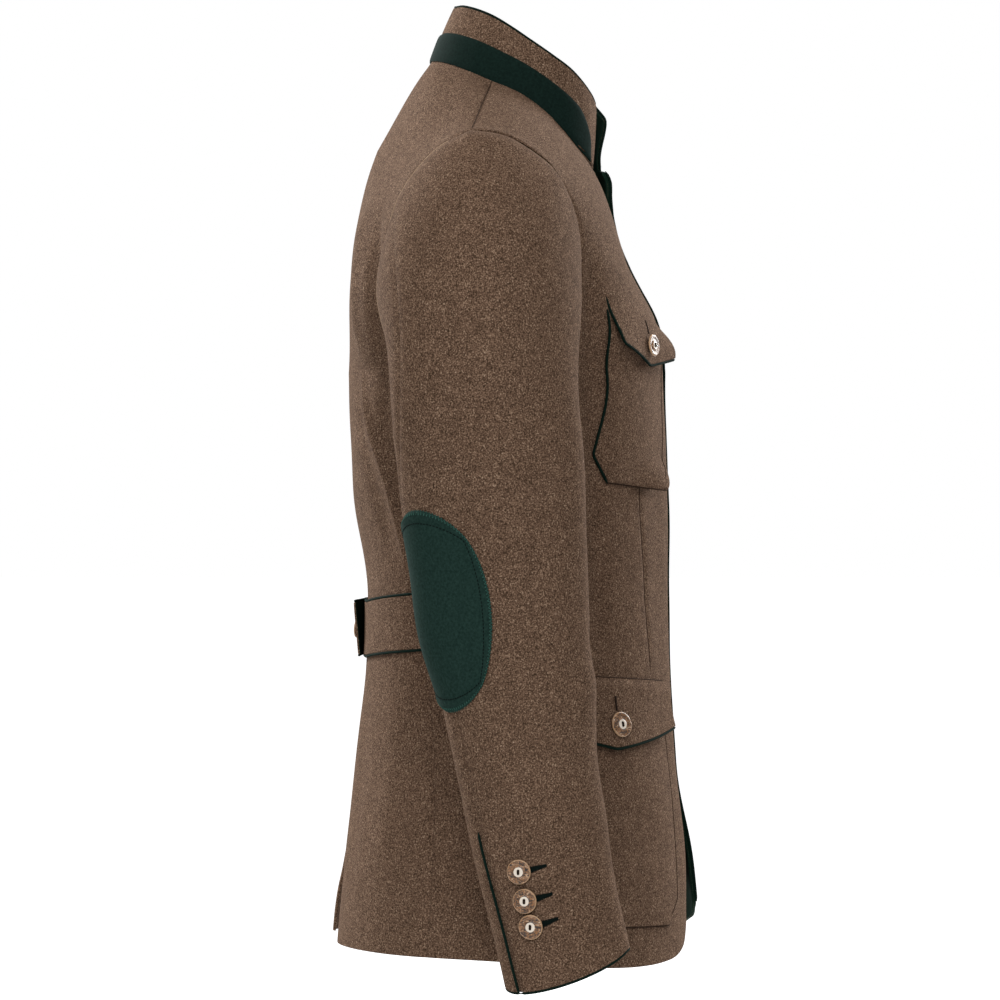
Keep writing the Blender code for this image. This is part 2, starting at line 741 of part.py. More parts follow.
def collar(brown, green):
    half = collar_stations()
    half = np.sort(np.concatenate([half, (half[1:] + half[:-1]) / 2]))
    ss = np.concatenate([-half[:0:-1], half])
    grid, n = collar_grid(ss, 0 * ss, 0 * ss + 1, 4)
    grid = inset(grid, low=2 * GAP)
    slab("collar", *wall(grid, n, CLOTH), brown)
    inner = inset(grid, first=GAP, last=GAP, high=GAP) - (CLOTH + GAP) * n
    slab("collar_lining", *wall(inner, n, LINING), green)
    ends = ss[1:-1]
    band, n = collar_grid(ends, 0 * ends + 0.03, [band_height(s) for s in ends], 3)
    slab("collar_band", *wall(band + (0.0005 + FELT) * n, n, FELT), green)
    top, n = collar_grid(ss, 0 * ss + 0.96, 0 * ss + 1, 2)
    up = unit(top[1] - top[0])
    cord("collar_piping", top[1] - 0.5 * CLOTH * n[1] + (PIPING + GAP) * up, 0.9 * PIPING, green)


def in_pocket(pocket, left, p, q, out):
    """A point over a front, from the pocket's own measures: p to the rear and q up from the flap's middle."""
    lean = math.radians(pocket["lean"])
    arc = pocket["arc"] + p * math.cos(lean) - q * math.sin(lean)
    fan = pocket["fan"] * (0.6 + q / pocket["height"])
    height = pocket["z"] + p * (math.sin(lean) + fan) + q * math.cos(lean)
    return on_front(arc, height, left, out)


def flap_drop(pocket, p):
    """How far the flap reaches down at p: to a blunt point in the middle."""
    beside = abs(p) / (pocket["width"] / 2 + 0.002)
    return pocket["flap_side"] + (pocket["flap_tip"] - pocket["flap_side"]) * (1 - beside)


def flap_out(pocket, p, q):
    """How far the flap's underside stands off the front: over the pocket's mouth, then flared."""
    share = -q / pocket["flap_tip"]
    over = (PATCH + 2 * GAP + 0.0004) * ease(-q / 0.0070)
    flare = pocket["flap_flare"] * (1 + pocket["flap_twist"] * 2 * p / pocket["width"])
    return LAID + over + flare * max(share, 0) ** 1.6


def pocket_pieces(pocket, kind, side, brown, green, horn):
    left = side > 0
    word = f"{kind}_{'left' if left else 'right'}"
    half, mouth = pocket["width"] / 2, pocket["mouth"]

    def bottom(p):
        return -pocket["height"] + max(0, abs(p) - (half - pocket["cut"]))

    inner_half = half - pocket["cut"]
    columns_between = math.ceil(2 * inner_half / 0.018)
    ps = np.concatenate([[-half, -half + pocket["cut"] / 2], np.linspace(-inner_half, inner_half, columns_between + 1)])
    ps = np.concatenate([ps, -ps[1::-1]])
    grid = lambda out: np.array(
        [
            [in_pocket(pocket, left, p, -mouth + (bottom(p) + mouth) * r, out(p / half, r)) for p in ps]
            for r in np.linspace(0, 1, 7)
        ]
    )
    swell = lambda x, r: pocket["bulge"] * (1 - x * x) * 4 * r * (1 - r)
    slab(
        f"{word}_pocket",
        grid(lambda x, r: LAID + PATCH + swell(x, r)),
        grid(lambda x, r: LAID + swell(x, r)),
        brown,
        side,
    )
    beyond = half + PIPING + 2 * GAP
    heights = np.linspace(-mouth - 0.002, bottom(half), 8)
    route = [(beyond, q) for q in heights]
    route += [(half - pocket["cut"] + 0.0010, -pocket["height"] - PIPING - GAP)]
    cord(
        f"{word}_pocket_piping",
        [in_pocket(pocket, left, p, q, LAID + PIPING) for p, q in route],
        PIPING,
        green,
        side,
    )

    wide = half + 0.002
    ps = np.linspace(-wide, wide, 2 * math.ceil(wide / 0.019) + 1)
    drop = lambda p: flap_drop(pocket, p)
    taper = lambda r: 1 - pocket["flap_taper"] * r
    grid = lambda extra: np.array(
        [
            [
                in_pocket(pocket, left, p * taper(r), -drop(p) * r, flap_out(pocket, p, -drop(p) * r) + extra)
                for p in ps
            ]
            for r in (0, 0.1, 0.25, 0.5, 0.75, 1)
        ]
    )
    slab(f"{word}_flap", grid(PATCH), grid(0), brown, side)
    reach = PIPING + GAP
    down = [(wide * taper(r) + reach, -drop(wide) * r) for r in np.linspace(0.02, 1, 6)]
    along = [(p * taper(1), -drop(p) - reach - 0.0003) for p in np.linspace(wide, -wide, 9)]
    cord(
        f"{word}_flap_piping",
        [in_pocket(pocket, left, p, q, flap_out(pocket, p, q) + PATCH / 2) for p, q in down + along],
        PIPING,
        green,
        side,
    )
    q = -pocket["flap_tip"] + pocket["button_up"]
    seat = lambda p, q: in_pocket(pocket, left, p, q, flap_out(pocket, p, q) + PATCH + 2 * GAP)
    centre = seat(0, q)
    across, above = seat(0.004, q) - centre, seat(0, q + 0.004) - centre
    n = unit(np.cross(above, across))
    n = n if n[1] < 0 else -n
    button(f"{word}_button", centre, n, pocket["button"], horn, side)


# A turned button, as shares of its radius outward and of its height: back, edge, dished face, raised centre.
BUTTON = columns(
    "out up",
    (0.62, 0.00),
    (1.00, 0.40),
    (0.92, 0.80),
    (0.60, 0.72),
    (0.42, 1.00),
)
BUTTON_HEIGHT = 0.0034


def button(name, centre, normal, radius, material, side=1, sides=14):
    """A turned button standing on its seat, facing along its normal."""
    normal = unit(np.array(normal) * (side, 1, 1))
    centre = np.array(centre) * (side, 1, 1)
    across = unit(np.cross(normal, (0.1, 0.2, 1.0)))
    other = np.cross(normal, across)
    points, faces = [], []
    for out, up in zip(BUTTON["out"], BUTTON["up"]):
        for k in range(sides):
            turn = 2 * math.pi * k / sides
            points.append(centre + radius * out * (math.cos(turn) * across + math.sin(turn) * other) + up * BUTTON_HEIGHT * normal)
    for ring in range(len(BUTTON["out"]) - 1):
        for k in range(sides):
            m = (k + 1) % sides
            faces.append((ring * sides + k, ring * sides + m, (ring + 1) * sides + m, (ring + 1) * sides + k))
    last = (len(BUTTON["out"]) - 1) * sides
    faces += [tuple(reversed(range(sides))), tuple(range(last, last + sides))]
    shape(name, np.array(points), faces, material)


def belt(brown, green, horn):
    """The half belt: a right strap, and a left one with a pointed end that laps over it and is buttoned."""
    heights = np.linspace(0, 1, 3)

    def seam_arc(z):
        curve = section(z)[1]
        t = np.linspace(0, share_at_y(curve, float(smooth(z, SEAMS["z"], SEAMS["back"]))), 40)
        return np.linalg.norm(np.diff(bezier(curve, t), axis=0), axis=1).sum()

    def strap(shares, arc_of, out_of, left):
        grid = []
        for r in heights:
            z = BELT_TOP - BELT_HEIGHT * r
            grid.append([on_back(arc_of(x, r, z), z, left, out_of(arc_of(x, r, z), r)) for x in shares])
        return np.array(grid)

    def right_arc(x, r, z):
        return -0.020 + (seam_arc(z) + 0.020) * x

    def left_arc(x, r, z):
        end = -BELT_END - BELT_POINT * (1 - abs(2 * r - 1))
        return end + (seam_arc(z) - end) * x

    def left_out(arc, r):
        over = (PATCH + 2 * GAP) * ease((0.050 - arc) / 0.024)
        lift = 0.0075 * ease((0.010 - arc) / 0.062) * (1 - 0.65 * r)
        return LAID + over + lift

    for word, side, arc_of, out_of in (
        ("right", -1, right_arc, lambda arc, r: LAID),
        ("left", 1, left_arc, left_out),
    ):
        outer = strap(np.linspace(0, 1, 13), arc_of, lambda a, r: out_of(a, r) + PATCH, side > 0)
        inner = strap(np.linspace(0, 1, 13), arc_of, out_of, side > 0)
        slab(f"belt_{word}", outer, inner, brown, side)
        for edge_word, r, away in (("top", 0, PIPING + GAP), ("bottom", 1, -PIPING - GAP)):
            z = BELT_TOP - BELT_HEIGHT * r
            route = [
                on_back(arc_of(x, r, z), z + away, side > 0, out_of(arc_of(x, r, z), r) + PATCH / 2 + GAP)
                for x in np.linspace(0.01, 1, 13)
            ]
            cord(f"belt_{word}_piping_{edge_word}", route, PIPING, green, side)
    z = BELT_TOP - BELT_HEIGHT / 2
    seat = -0.012
    out = left_out(seat, 0.5) + PATCH + GAP
    centre = on_back(seat, z, True, out)
    across = on_back(seat + 0.006, z, True, left_out(seat + 0.006, 0.5) + PATCH + GAP) - centre
    above = on_back(seat, z + 0.006, True, left_out(seat, 0.5 - 0.006 / BELT_HEIGHT) + PATCH + GAP) - centre
    n = unit(np.cross(across, above))
    n = n if n[1] > 0 else -n
    button("belt_button", centre + 0.0006 * n, n, 0.0090, horn)


def elbow_patch(side, green):
    """An oval of felt over the hind seam: a square grid pressed into an ellipse."""
    word = "left" if side > 0 else "right"
    per_share = SLEEVE["front_z"][0] + SLEEVE["rear_z"][0] - SLEEVE["front_z"][-1] - SLEEVE["rear_z"][-1]
    per_share /= 2 * (1 - CAP_SHARE)
    centre = ELBOW["share"]
    angles = np.linspace(-80, 80, 81)
    ring = np.array([sleeve(centre, ELBOW["angle"] + a) for a in angles])
    arcs = np.concatenate([[0], np.cumsum(np.linalg.norm(np.diff(ring, axis=0), axis=1))])
    arcs -= np.interp(0, angles, arcs)
    grid = lambda out: np.array(
        [
            [
                on_sleeve(
                    centre - ELBOW["high"] / per_share * v * math.sqrt(1 - u * u / 2),
                    ELBOW["angle"] + np.interp(ELBOW["wide"] * u * math.sqrt(1 - v * v / 2), arcs, angles),
                    out,
                )
                for u in np.linspace(-1, 1, 9)
            ]
            for v in np.linspace(-1, 1, 11)
        ]
    )
    slab(f"elbow_patch_{word}", grid(LAID + FELT), grid(LAID), green, side)


def cuff(side, green, horn):
    word = "left" if side > 0 else "right"
    slit = [sleeve_edge(s, hind(s)) for s in np.linspace(0.836, 0.992, 7)]
    cord(f"cuff_{word}_slit_piping", slit, PIPING, green, side)
    hem = []
    for angle in np.linspace(hind(1) - 360 + 3, 108, 15):
        hem.append(on_sleeve(1, angle, -CLOTH / 2) + (PIPING + GAP) * cuff_down(angle))
    cord(f"cuff_{word}_hem_piping", hem, PIPING, green, side)
    for k, (share, angle) in enumerate(zip(CUFF_BUTTONS["share"], CUFF_BUTTONS["angle"])):
        seat = on_sleeve(share, angle, 2 * GAP)
        n = unit(on_sleeve(share, angle, 0.01) - on_sleeve(share, angle, 0))
        button(f"cuff_{word}_button_{k + 1}", seat, n, CUFF_BUTTON, horn, side)


def cuff_down(angle):
    return unit(sleeve(1, angle) - sleeve(0.99, angle))


def sleeve_edge(share, angle):
    return on_sleeve(share, angle, PIPING + GAP)


def front_piping(green):
    """The cord along the left front's edge, from the collar seam to the hem."""
    grid, n = half_panel(0, True, FRONT_COLUMNS)
    top = LOWER_ROWS + CENTRE_ROWS[0]
    away = unit(grid[: top + 1, 0] - grid[: top + 1, 1])
    route = grid[: top + 1, 0] + (PIPING + GAP) * away - 1.05 * PIPING * n[: top + 1, 0]
    cord("front_left_piping", route, PIPING, green)


def main():
    for thing in list(bpy.data.objects):
        bpy.data.objects.remove(thing)
    brown = finish("loden", BROWN, 0.95)
    green = finish("green felt", GREEN, 0.95)
    horn = finish("stag horn", HORN, 0.45)
    for side in (1, -1):
        body(side, brown)
        sleeves(side, brown)
        pocket_pieces(CHEST_POCKET, "chest", side, brown, green, horn)
        pocket_pieces(LOWER_POCKET, "lower", side, brown, green, horn)
        elbow_patch(side, green)
        cuff(side, green, horn)
    collar(brown, green)
    facing(green)
    front_piping(green)
    belt(brown, green, horn)


main()
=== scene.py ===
# %% [markdown]
# # A tyrolean loden jacket, filled out as if worn
# The jacket is grey-brown loden with dark green felt and cord. It hangs hollow, with no wearer in it. The
# plain solids of the frame say where each piece lies. Here every piece is made again as fine cloth, on the
# same surfaces, and gets its folds, seams, stitches and wool.
# Positions are in metres: +Z up, +X to the wearer's left, -Y to the front. The origin is on the wearer's
# midline, at the height where the shoulder seams meet the collar.


# %% Load the frame
import math
import bpy
import mathutils
import numpy as np
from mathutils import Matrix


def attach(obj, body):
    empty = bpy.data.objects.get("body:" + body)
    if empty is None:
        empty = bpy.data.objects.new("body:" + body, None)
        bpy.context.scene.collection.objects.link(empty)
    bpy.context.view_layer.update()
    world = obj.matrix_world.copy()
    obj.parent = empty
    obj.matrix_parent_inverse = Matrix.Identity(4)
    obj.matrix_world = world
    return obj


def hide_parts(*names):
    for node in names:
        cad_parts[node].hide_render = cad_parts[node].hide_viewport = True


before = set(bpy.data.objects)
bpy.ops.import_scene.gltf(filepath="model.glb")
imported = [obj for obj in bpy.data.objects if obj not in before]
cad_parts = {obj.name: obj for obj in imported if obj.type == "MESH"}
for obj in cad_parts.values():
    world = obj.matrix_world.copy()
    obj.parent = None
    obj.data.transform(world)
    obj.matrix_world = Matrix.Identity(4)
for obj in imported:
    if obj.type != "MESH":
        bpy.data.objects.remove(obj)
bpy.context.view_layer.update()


# %% [markdown]
# ## Numbers and small helpers
# A garment is easiest to build from sections, as a cutter measures it: the body at several heights, the
# armhole, the sleeve and the collar. A cubic through each table gives a smooth surface that passes through
# every measured point. A subdivision surface would shrink away from them.


# %% Helpers for tables and curves
CLOTH = 0.0018  # thickness of the panels' loden
LINING = 0.0010  # thickness of the facing and the collar's lining
FELT = 0.0014  # thickness of the collar band and the elbow patches
PATCH = 0.0018  # thickness of the pockets, flaps and belt
GAP = 0.0003  # between neighbouring pieces
LAID = 0.0008  # under a piece laid on a rounded panel
SEAM = 0.5 * GAP
PIPING = 0.0011  # radius of the green cord
SIDES = (1, "left"), (-1, "right")  # the wearer's own


def columns(names, *rows):
    """A table as a dictionary, with one array for each named column."""
    return dict(zip(names.split(), np.array(rows, float).T))


def smooth(at, stations, values):
    """A cubic through the table's rows, level beyond both ends."""
    slopes = np.gradient(values, stations, axis=0)
    at = np.clip(at, stations[0], stations[-1])
    i = np.clip(np.searchsorted(stations, at) - 1, 0, len(stations) - 2)
    span = stations[i + 1] - stations[i]
    t = (at - stations[i]) / span
    if values.ndim > 1:
        t, span = np.expand_dims(t, -1), np.expand_dims(span, -1)
    return (
        (1 + 2 * t) * (1 - t) ** 2 * values[i]
        + t * (1 - t) ** 2 * span * slopes[i]
        + t * t * (3 - 2 * t) * values[i + 1]
        + t * t * (t - 1) * span * slopes[i + 1]
    )


def ease(x):
    """0 below 0, 1 above 1, and smooth between."""
    x = np.clip(x, 0, 1)
    return x * x * (3 - 2 * x)


def unit(v):
    """Vectors made one metre long."""
    return v / np.linalg.norm(v, axis=-1, keepdims=True)


def path(points):
    """A curve through points, as a function of the share of its length."""
    points = np.array(points)
    lengths = np.linalg.norm(np.diff(points, axis=0), axis=1)
    stations = np.concatenate([[0], np.cumsum(lengths)]) / lengths.sum()
    return lambda share: smooth(np.asarray(share, float), stations, points)


def arrays(*values):
    """The values as arrays of numbers, all of one shape."""
    return np.broadcast_arrays(*(np.asarray(v, float) for v in values))


def tape(points):
    """The length along a line of points, up to each of them."""
    return np.concatenate([[0], np.cumsum(np.linalg.norm(np.diff(points, axis=0), axis=1))])


def bezier(p, t):
    """A cubic Bezier curve from four points, at these parameters."""
    t = np.asarray(t, float)[..., None]
    return (1 - t) ** 3 * p[0] + 3 * t * (1 - t) ** 2 * p[1] + 3 * t * t * (1 - t) * p[2] + t**3 * p[3]


def points_of(table):
    """A table's x, y and z columns as points."""
    return np.stack([table["x"], table["y"], table["z"]], axis=1)


# %% [markdown]
# ## Measured tables
# These are the stations that the plain solids were lofted through, most of them unchanged and some moved by
# a few millimetres, so the fine cloth lies on them.


# %% Body sections, centre lines and armholes
OVERLAP = 0.020  # each front runs this far past the centre
CHEST = -0.235  # height where the level sections end and the armholes begin
UNDERARM = 0.030  # the armhole's lowest point below that
SHOULDER = np.array((0.220, 0.0224, -0.0507))
# Level sections: the centre front, the centre back and the half width at each height.
BODY = columns(
    "z front back width",
    (-0.720, -0.1567, 0.1336, 0.2050),
    (-0.654, -0.1534, 0.1295, 0.2030),
    (-0.588, -0.1492, 0.1235, 0.1970),
    (-0.522, -0.1424, 0.1150, 0.1900),
    (-0.472, -0.1406, 0.1108, 0.1850),
    (-0.420, -0.1406, 0.1110, 0.1825),
    (-0.380, -0.1394, 0.1140, 0.1840),
    (-0.327, -0.1379, 0.1203, 0.1910),
    (-0.281, -0.1380, 0.1245, 0.1970),
    (-0.235, -0.1372, 0.1262, 0.2000),
)
SIDE = -0.004  # where each section is widest
FRONT_HANDLE = 0.55  # 0.55 makes an ellipse, more a squarer section
BACK_HANDLE = 0.66

# The centre lines above the level sections, and the collar seam, from the centre to the neck point.
CENTRE_FRONT = columns(
    "y z",
    (-0.1372, -0.2350),
    (-0.1338, -0.2080),
    (-0.1290, -0.1930),
    (-0.1148, -0.1647),
    (-0.1066, -0.1481),
    (-0.0972, -0.1232),
    (-0.0940, -0.1060),
    (-0.0922, -0.0900),
    (-0.0873, -0.0750),
    (-0.0815, -0.0672),
)
FRONT_NECK = columns(
    "x y z",
    (0.000, -0.0815, -0.0672),
    (0.014, -0.0806, -0.0664),
    (0.032, -0.0748, -0.0610),
    (0.047, -0.0650, -0.0522),
    (0.061, -0.0500, -0.0355),
    (0.069, -0.0330, -0.0203),
    (0.0735, -0.0150, -0.0085),
    (0.073, 0.0065, 0.0008),
)
CENTRE_BACK = columns(
    "y z",
    (0.1262, -0.2350),
    (0.1218, -0.1560),
    (0.1172, -0.1070),
    (0.1105, -0.0817),
    (0.1027, -0.0570),
    (0.0998, -0.0485),
    (0.0962, -0.0400),
    (0.0868, -0.0236),
    (0.0790, -0.0100),
    (0.0664, 0.0077),
    (0.0573, 0.0237),
)
BACK_NECK = columns(
    "x y z",
    (0.000, 0.0573, 0.0237),
    (0.022, 0.0543, 0.0228),
    (0.042, 0.0447, 0.0195),
    (0.059, 0.0310, 0.0132),
    (0.070, 0.0180, 0.0065),
    (0.073, 0.0065, 0.0008),
)
# The armhole above the level sections, from low to high.
FRONT_ARMHOLE = columns(
    "x y z",
    (0.1895, -0.0590, -0.2080),
    (0.1880, -0.0624, -0.1800),
    (0.1895, -0.0620, -0.1560),
    (0.1925, -0.0601, -0.1322),
    (0.1990, -0.0529, -0.1008),
    (0.2070, -0.0423, -0.0797),
    (0.2140, -0.0263, -0.0656),
    (0.2195, -0.0054, -0.0545),
)
BACK_ARMHOLE = columns(
    "x y z",
    (0.1910, 0.0890, -0.2080),
    (0.1940, 0.0940, -0.1789),
    (0.1960, 0.0925, -0.1556),
    (0.1990, 0.0878, -0.1332),
    (0.2040, 0.0799, -0.1078),
    (0.2100, 0.0651, -0.0848),
    (0.2175, 0.0400, -0.0600),
)
# How far forward or back each lengthwise seam lies, and the hem's height around the body from front to
# back.
SEAMS = columns(
    "z front back",
    (-0.720, -0.0600, 0.0600),
    (-0.600, -0.0560, 0.0520),
    (-0.530, -0.0540, 0.0535),
    (-0.456, -0.0520, 0.0593),
    (-0.410, -0.0500, 0.0695),
    (-0.330, -0.0470, 0.0780),
    (-0.235, -0.0450, 0.0780),
)
HEM = columns(
    "around z",
    (0.000, -0.6550),
    (0.027, -0.6630),
    (0.053, -0.6740),
    (0.077, -0.6895),
    (0.100, -0.7000),
    (0.123, -0.7048),
    (0.144, -0.7073),
    (0.187, -0.7090),
    (0.250, -0.7088),
    (0.320, -0.7062),
    (0.46, -0.6990),
    (0.70, -0.6965),
    (0.85, -0.6985),
    (1.00, -0.7035),
)


# %% Sleeve and collar
# Sleeve sections from the upper arm to the cuff: foremost and rearmost points, middle and half width.
SLEEVE = columns(
    "front_y front_z rear_y rear_z middle width",
    (-0.0626, -0.290, 0.0810, -0.290, 0.2560, 0.0500),
    (-0.0655, -0.350, 0.0747, -0.353, 0.2535, 0.0490),
    (-0.0672, -0.390, 0.0680, -0.394, 0.2515, 0.0480),
    (-0.0695, -0.435, 0.0595, -0.439, 0.2500, 0.0465),
    (-0.0724, -0.495, 0.0452, -0.499, 0.2500, 0.0440),
    (-0.0754, -0.543, 0.0340, -0.549, 0.2520, 0.0425),
    (-0.0815, -0.590, 0.0227, -0.598, 0.2550, 0.0405),
    (-0.0907, -0.643, 0.0095, -0.657, 0.2590, 0.0385),
    (-0.0985, -0.6795, -0.0023, -0.7060, 0.2630, 0.0370),
)
# The sleeve's hind seam, as an angle from its outer side, by the share of the length from armhole to cuff.
HIND_SEAM = columns(
    "share angle",
    (0.00, 309.6),
    (0.15, 305),
    (0.25, 293),
    (0.39, 274),
    (0.52, 286),
    (0.64, 302),
    (0.84, 304),
    (1.00, 312),
)
CAP_SHARE = 0.28  # of the sleeve's grid, from the armhole to the first section
# The collar's top edge, from the centre back to the front end.
COLLAR_TOP = columns(
    "x y z",
    (0.000, 0.0385, 0.0690),
    (0.026, 0.0300, 0.0665),
    (0.044, 0.0165, 0.0606),
    (0.055, 0.0040, 0.0538),
    (0.060, -0.0100, 0.0447),
    (0.061, -0.0244, 0.0349),
    (0.058, -0.0433, 0.0222),
    (0.049, -0.0580, 0.0123),
    (0.036, -0.0689, 0.0021),
    (0.019, -0.0770, -0.0077),
    (0.004, -0.0800, -0.0130),
)
COLLAR_FLARE = 0.0085  # the left collar end's top stands this far forward of the right one's
COLLAR_FALL = 0.0110  # and this far below it
COLLAR_END = 0.004  # each end of the collar stands this far from the centre
COLLAR_SWELL = 0.0008  # its middle stands this far proud
END_WAIST = 0.0050  # how far the collar's left end draws in below its middle
SINK = 0.0037  # the right front lies this far under the left one's outer face
RIGHT_SWELL = 0.0016  # but stands this much proud where it comes out from under the left one
EDGE_ROLL = 0.0010  # the left front sinks by this much beside its folded edge
NECK_FLARE = 0.0068  # it stands forward by this much at the collar
NECK_SWELL = 0.0008  # by this much a little lower
HEM_FLARE = 0.0096  # and by this much at the hem
VENT_TOP = -0.598  # height where the two backs part
VENT_FLARE = 0.0042  # the left back stands this far over the right one at the hem
VENT_REACH = 0.012  # and reaches this far across it
# How much higher the left front's hem hangs than the right one's, by arc from its edge.
LEFT_HEM = columns(
    "arc lift",
    (0.000, -0.0157),
    (0.011, -0.0183),
    (0.022, -0.0189),
    (0.033, -0.0175),
    (0.044, -0.0141),
    (0.057, -0.0084),
    (0.070, -0.0027),
    (0.082, 0.0016),
    (0.100, 0.0055),
    (0.120, 0.0067),
    (0.150, 0.0040),
    (0.200, 0.0000),
)


# %% Pockets, belt, cuff and patch
# A pocket is placed by the middle of its flap's top: the arc from the front's edge, the height, and the
# lean in degrees. The fan is how much steeper its top lies than its bottom. The mouth is how far its
# opening lies below the flap's top, the cut is the size of its cut corners, and the bow is how far its rear
# edge bows out from mouth to foot. The flap has its depth at the sides and at the tip, and how far it
# stands off.
CHEST_POCKET = dict(
    arc=0.130, z=-0.1765, lean=7, fan=0.115, width=0.120, height=0.1525, mouth=0.011, cut=0.020, bulge=0.0015,
    bow=(0.0048, 0.0018, -0.0080, -0.0060, -0.0030), foot_out=0.0120, stitched=0.0065,
    flap_side=0.039, flap_tip=0.053, flap_taper=0.10, tip_at=0.0,
    flap_out=dict(middle=0.0091, rear=0.0130, front=0.0143),
    button=0.0088, button_at=0.0032, button_up=0.0165,
)
LEFT_FLAP_FRONT = 0.0060  # the left chest flap's front corner stands off by less
LOWER_POCKET = dict(
    arc=0.181, z=-0.4800, lean=4, fan=0.0, width=0.184, height=0.196, mouth=0.008, cut=0.022, bulge=0.0035,
    bow=(0.0, 0.0, 0.0, 0.0, 0.0), foot_out=0.0, stitched=0.0030,
    flap_side=0.0385, flap_tip=0.056, flap_taper=0.0, tip_at=0.006, flap_flare=0.0062,
    button=0.0100, button_at=0.001, button_up=0.0185,
)
FLAP_OVERHANG = 0.002  # a flap is this much wider than its pocket on either side
BELT_TOP, BELT_HEIGHT = -0.4222, 0.0435
BELT_RISE, BELT_LEVEL = 0.080, 0.060  # each strap climbs this steeply, from this far beside the centre back
BELT_END, BELT_POINT = 0.042, 0.011  # how far the left strap runs past the centre back, and its pointed end
BELT_UNDER = 0.020  # how far the right strap runs under it
BELT_BUTTON = 0.0090  # radius
CUFF_BUTTONS = columns("share angle", (0.8645, 338), (0.8990, 338.3), (0.9282, 339.3))
CUFF_BUTTON = 0.0094  # radius
CUFF_DROP = 0.0098  # the cuff's outer side hangs this far below the line from its front to its rear
ELBOW = dict(share=0.5163, angle=301.6, high=0.0763, wide=0.0524)  # its middle, and its half height and width
ELBOW_REACH = 0.060  # about how far its edge is from its middle
ELBOW_CORNER = 0.472  # 0.5 would make the patch an ellipse, and less a squarer oval
ELBOW_SKEW = 0.043  # its top lies further forward than its bottom, by this share of their distance
ELBOW_STITCHES = 0.0075  # its second line of stitches lies this far inside its edge
BAND_SHARE = 0.50  # of the collar's height, covered by the felt band
BAND_END = 0.880  # and how far along each half of the collar it runs


# %% [markdown]
# ## The body surface
# Up to the chest the body is a stack of level sections, each two Bezier curves from the middle to the side.
# Above it, rows run from the centre line or the collar seam to the armhole. All of it is worked out for
# whole arrays of points at once, because a fine cloth has tens of thousands of them.


# %% Level sections of the body
HANDLES = FRONT_HANDLE, BACK_HANDLE


def level(z, t, which):
    """Points of the level section at z: which is 0 for the front half and 1 for the back half."""
    z, t = arrays(z, t)
    centre = smooth(z, BODY["z"], BODY[("front", "back")[which]])
    width = smooth(z, BODY["z"], BODY["width"])
    f = HANDLES[which]
    cross = SIDE + (centre - SIDE) * f
    handles = [(0 * z, centre), (f * width, centre), (width, cross), (width, SIDE + 0 * z)]
    p = bezier([np.stack(h, -1) for h in handles], abs(t))
    p[..., 0] *= np.where(t < 0, -1, 1)
    return np.concatenate([p, z[..., None]], -1)


def seam_table(which):
    """Where the lengthwise seam crosses each section, as pairs of height and Bezier parameter."""
    zs, t = np.linspace(-0.74, CHEST, 120), np.linspace(0, 1, 201)
    found = []
    for z, y in zip(zs, smooth(zs, SEAMS["z"], SEAMS[("front", "back")[which]])):
        ys = level(z, t, which)[:, 1]
        order = np.argsort(ys)
        found.append(np.interp(y, ys[order], t[order]))
    return zs, np.array(found)


SEAM_TABLES = seam_table(0), seam_table(1)


def seam_share(z, which):
    """The Bezier parameter where the lengthwise seam crosses the section at z."""
    return np.interp(z, *SEAM_TABLES[which])


def seam_handles(which):
    """The handles of the chest section's stretch from the centre to the seam."""
    centre = BODY[("front", "back")[which]][-1]
    width, f = BODY["width"][-1], HANDLES[which]
    corners = (0, centre), (f * width, centre), (width, SIDE + (centre - SIDE) * f), (width, SIDE)
    p = np.array([(x, y, CHEST) for x, y in corners])
    t = seam_share(CHEST, which)
    a, b, c = p[0] + t * (p[1] - p[0]), p[1] + t * (p[2] - p[1]), p[2] + t * (p[3] - p[2])
    d, e = a + t * (b - a), b + t * (c - b)
    return np.array([p[0], a, d, d + t * (e - d)])


# %% Rows above the chest
LOW = seam_handles(0), seam_handles(1)
print("the seams cross the chest at", LOW[0][3].round(3), LOW[1][3].round(3))
ARMHOLES = [
    path(np.vstack([LOW[0][3], points_of(FRONT_ARMHOLE), SHOULDER])),
    path(np.vstack([LOW[1][3], points_of(BACK_ARMHOLE), SHOULDER])),
]
CENTRES = [
    path([(0, y, z) for y, z in zip(CENTRE_FRONT["y"], CENTRE_FRONT["z"])]),
    path([(0, y, z) for y, z in zip(CENTRE_BACK["y"], CENTRE_BACK["z"])]),
]
NECKS = [path(points_of(FRONT_NECK)), path(points_of(BACK_NECK))]
CORNER = 0.60, 0.72  # the share of a front's and a back's rows that start on the centre line


def upper(share, t, which):
    """Points of the rows above the chest, from the centre line or the collar seam to the armhole."""
    share, t = arrays(share, t)
    corner = CORNER[which]
    on_centre = CENTRES[which](np.clip(share / corner, 0, 1))
    on_neck = NECKS[which](np.clip((share - corner) / (1 - corner), 0, 1))
    start = np.where((share <= corner)[..., None], on_centre, on_neck)
    end, low = ARMHOLES[which](share), LOW[which]
    straight = (end - start) / 3
    blend = (ease(share) ** 0.8)[..., None]
    free = ease((share - corner) / 0.15)
    first = (1 - blend) * (low[1] - low[0]) + blend * straight
    first = first * np.stack([np.ones_like(free), free, free], -1)
    last = (1 - blend) * (low[3] - low[2]) + blend * straight
    p = bezier([start, start + first, end - last, end], abs(t))
    p[..., 0] *= np.where(t < 0, -1, 1)
    return p


# %% [markdown]
# Pockets, flaps and the dart are marked on a front by tape measure: so far from its edge, at such a height.
# A chart does that here. It holds the front's points at even steps of tape and height, and a cubic look-up
# reads between them.


# %% Charts by tape measure and height
STEP = 0.004  # of tape and of height
ARCS = np.arange(-0.008, 0.345, STEP)
HEIGHTS = np.arange(-0.748, -0.066, STEP)


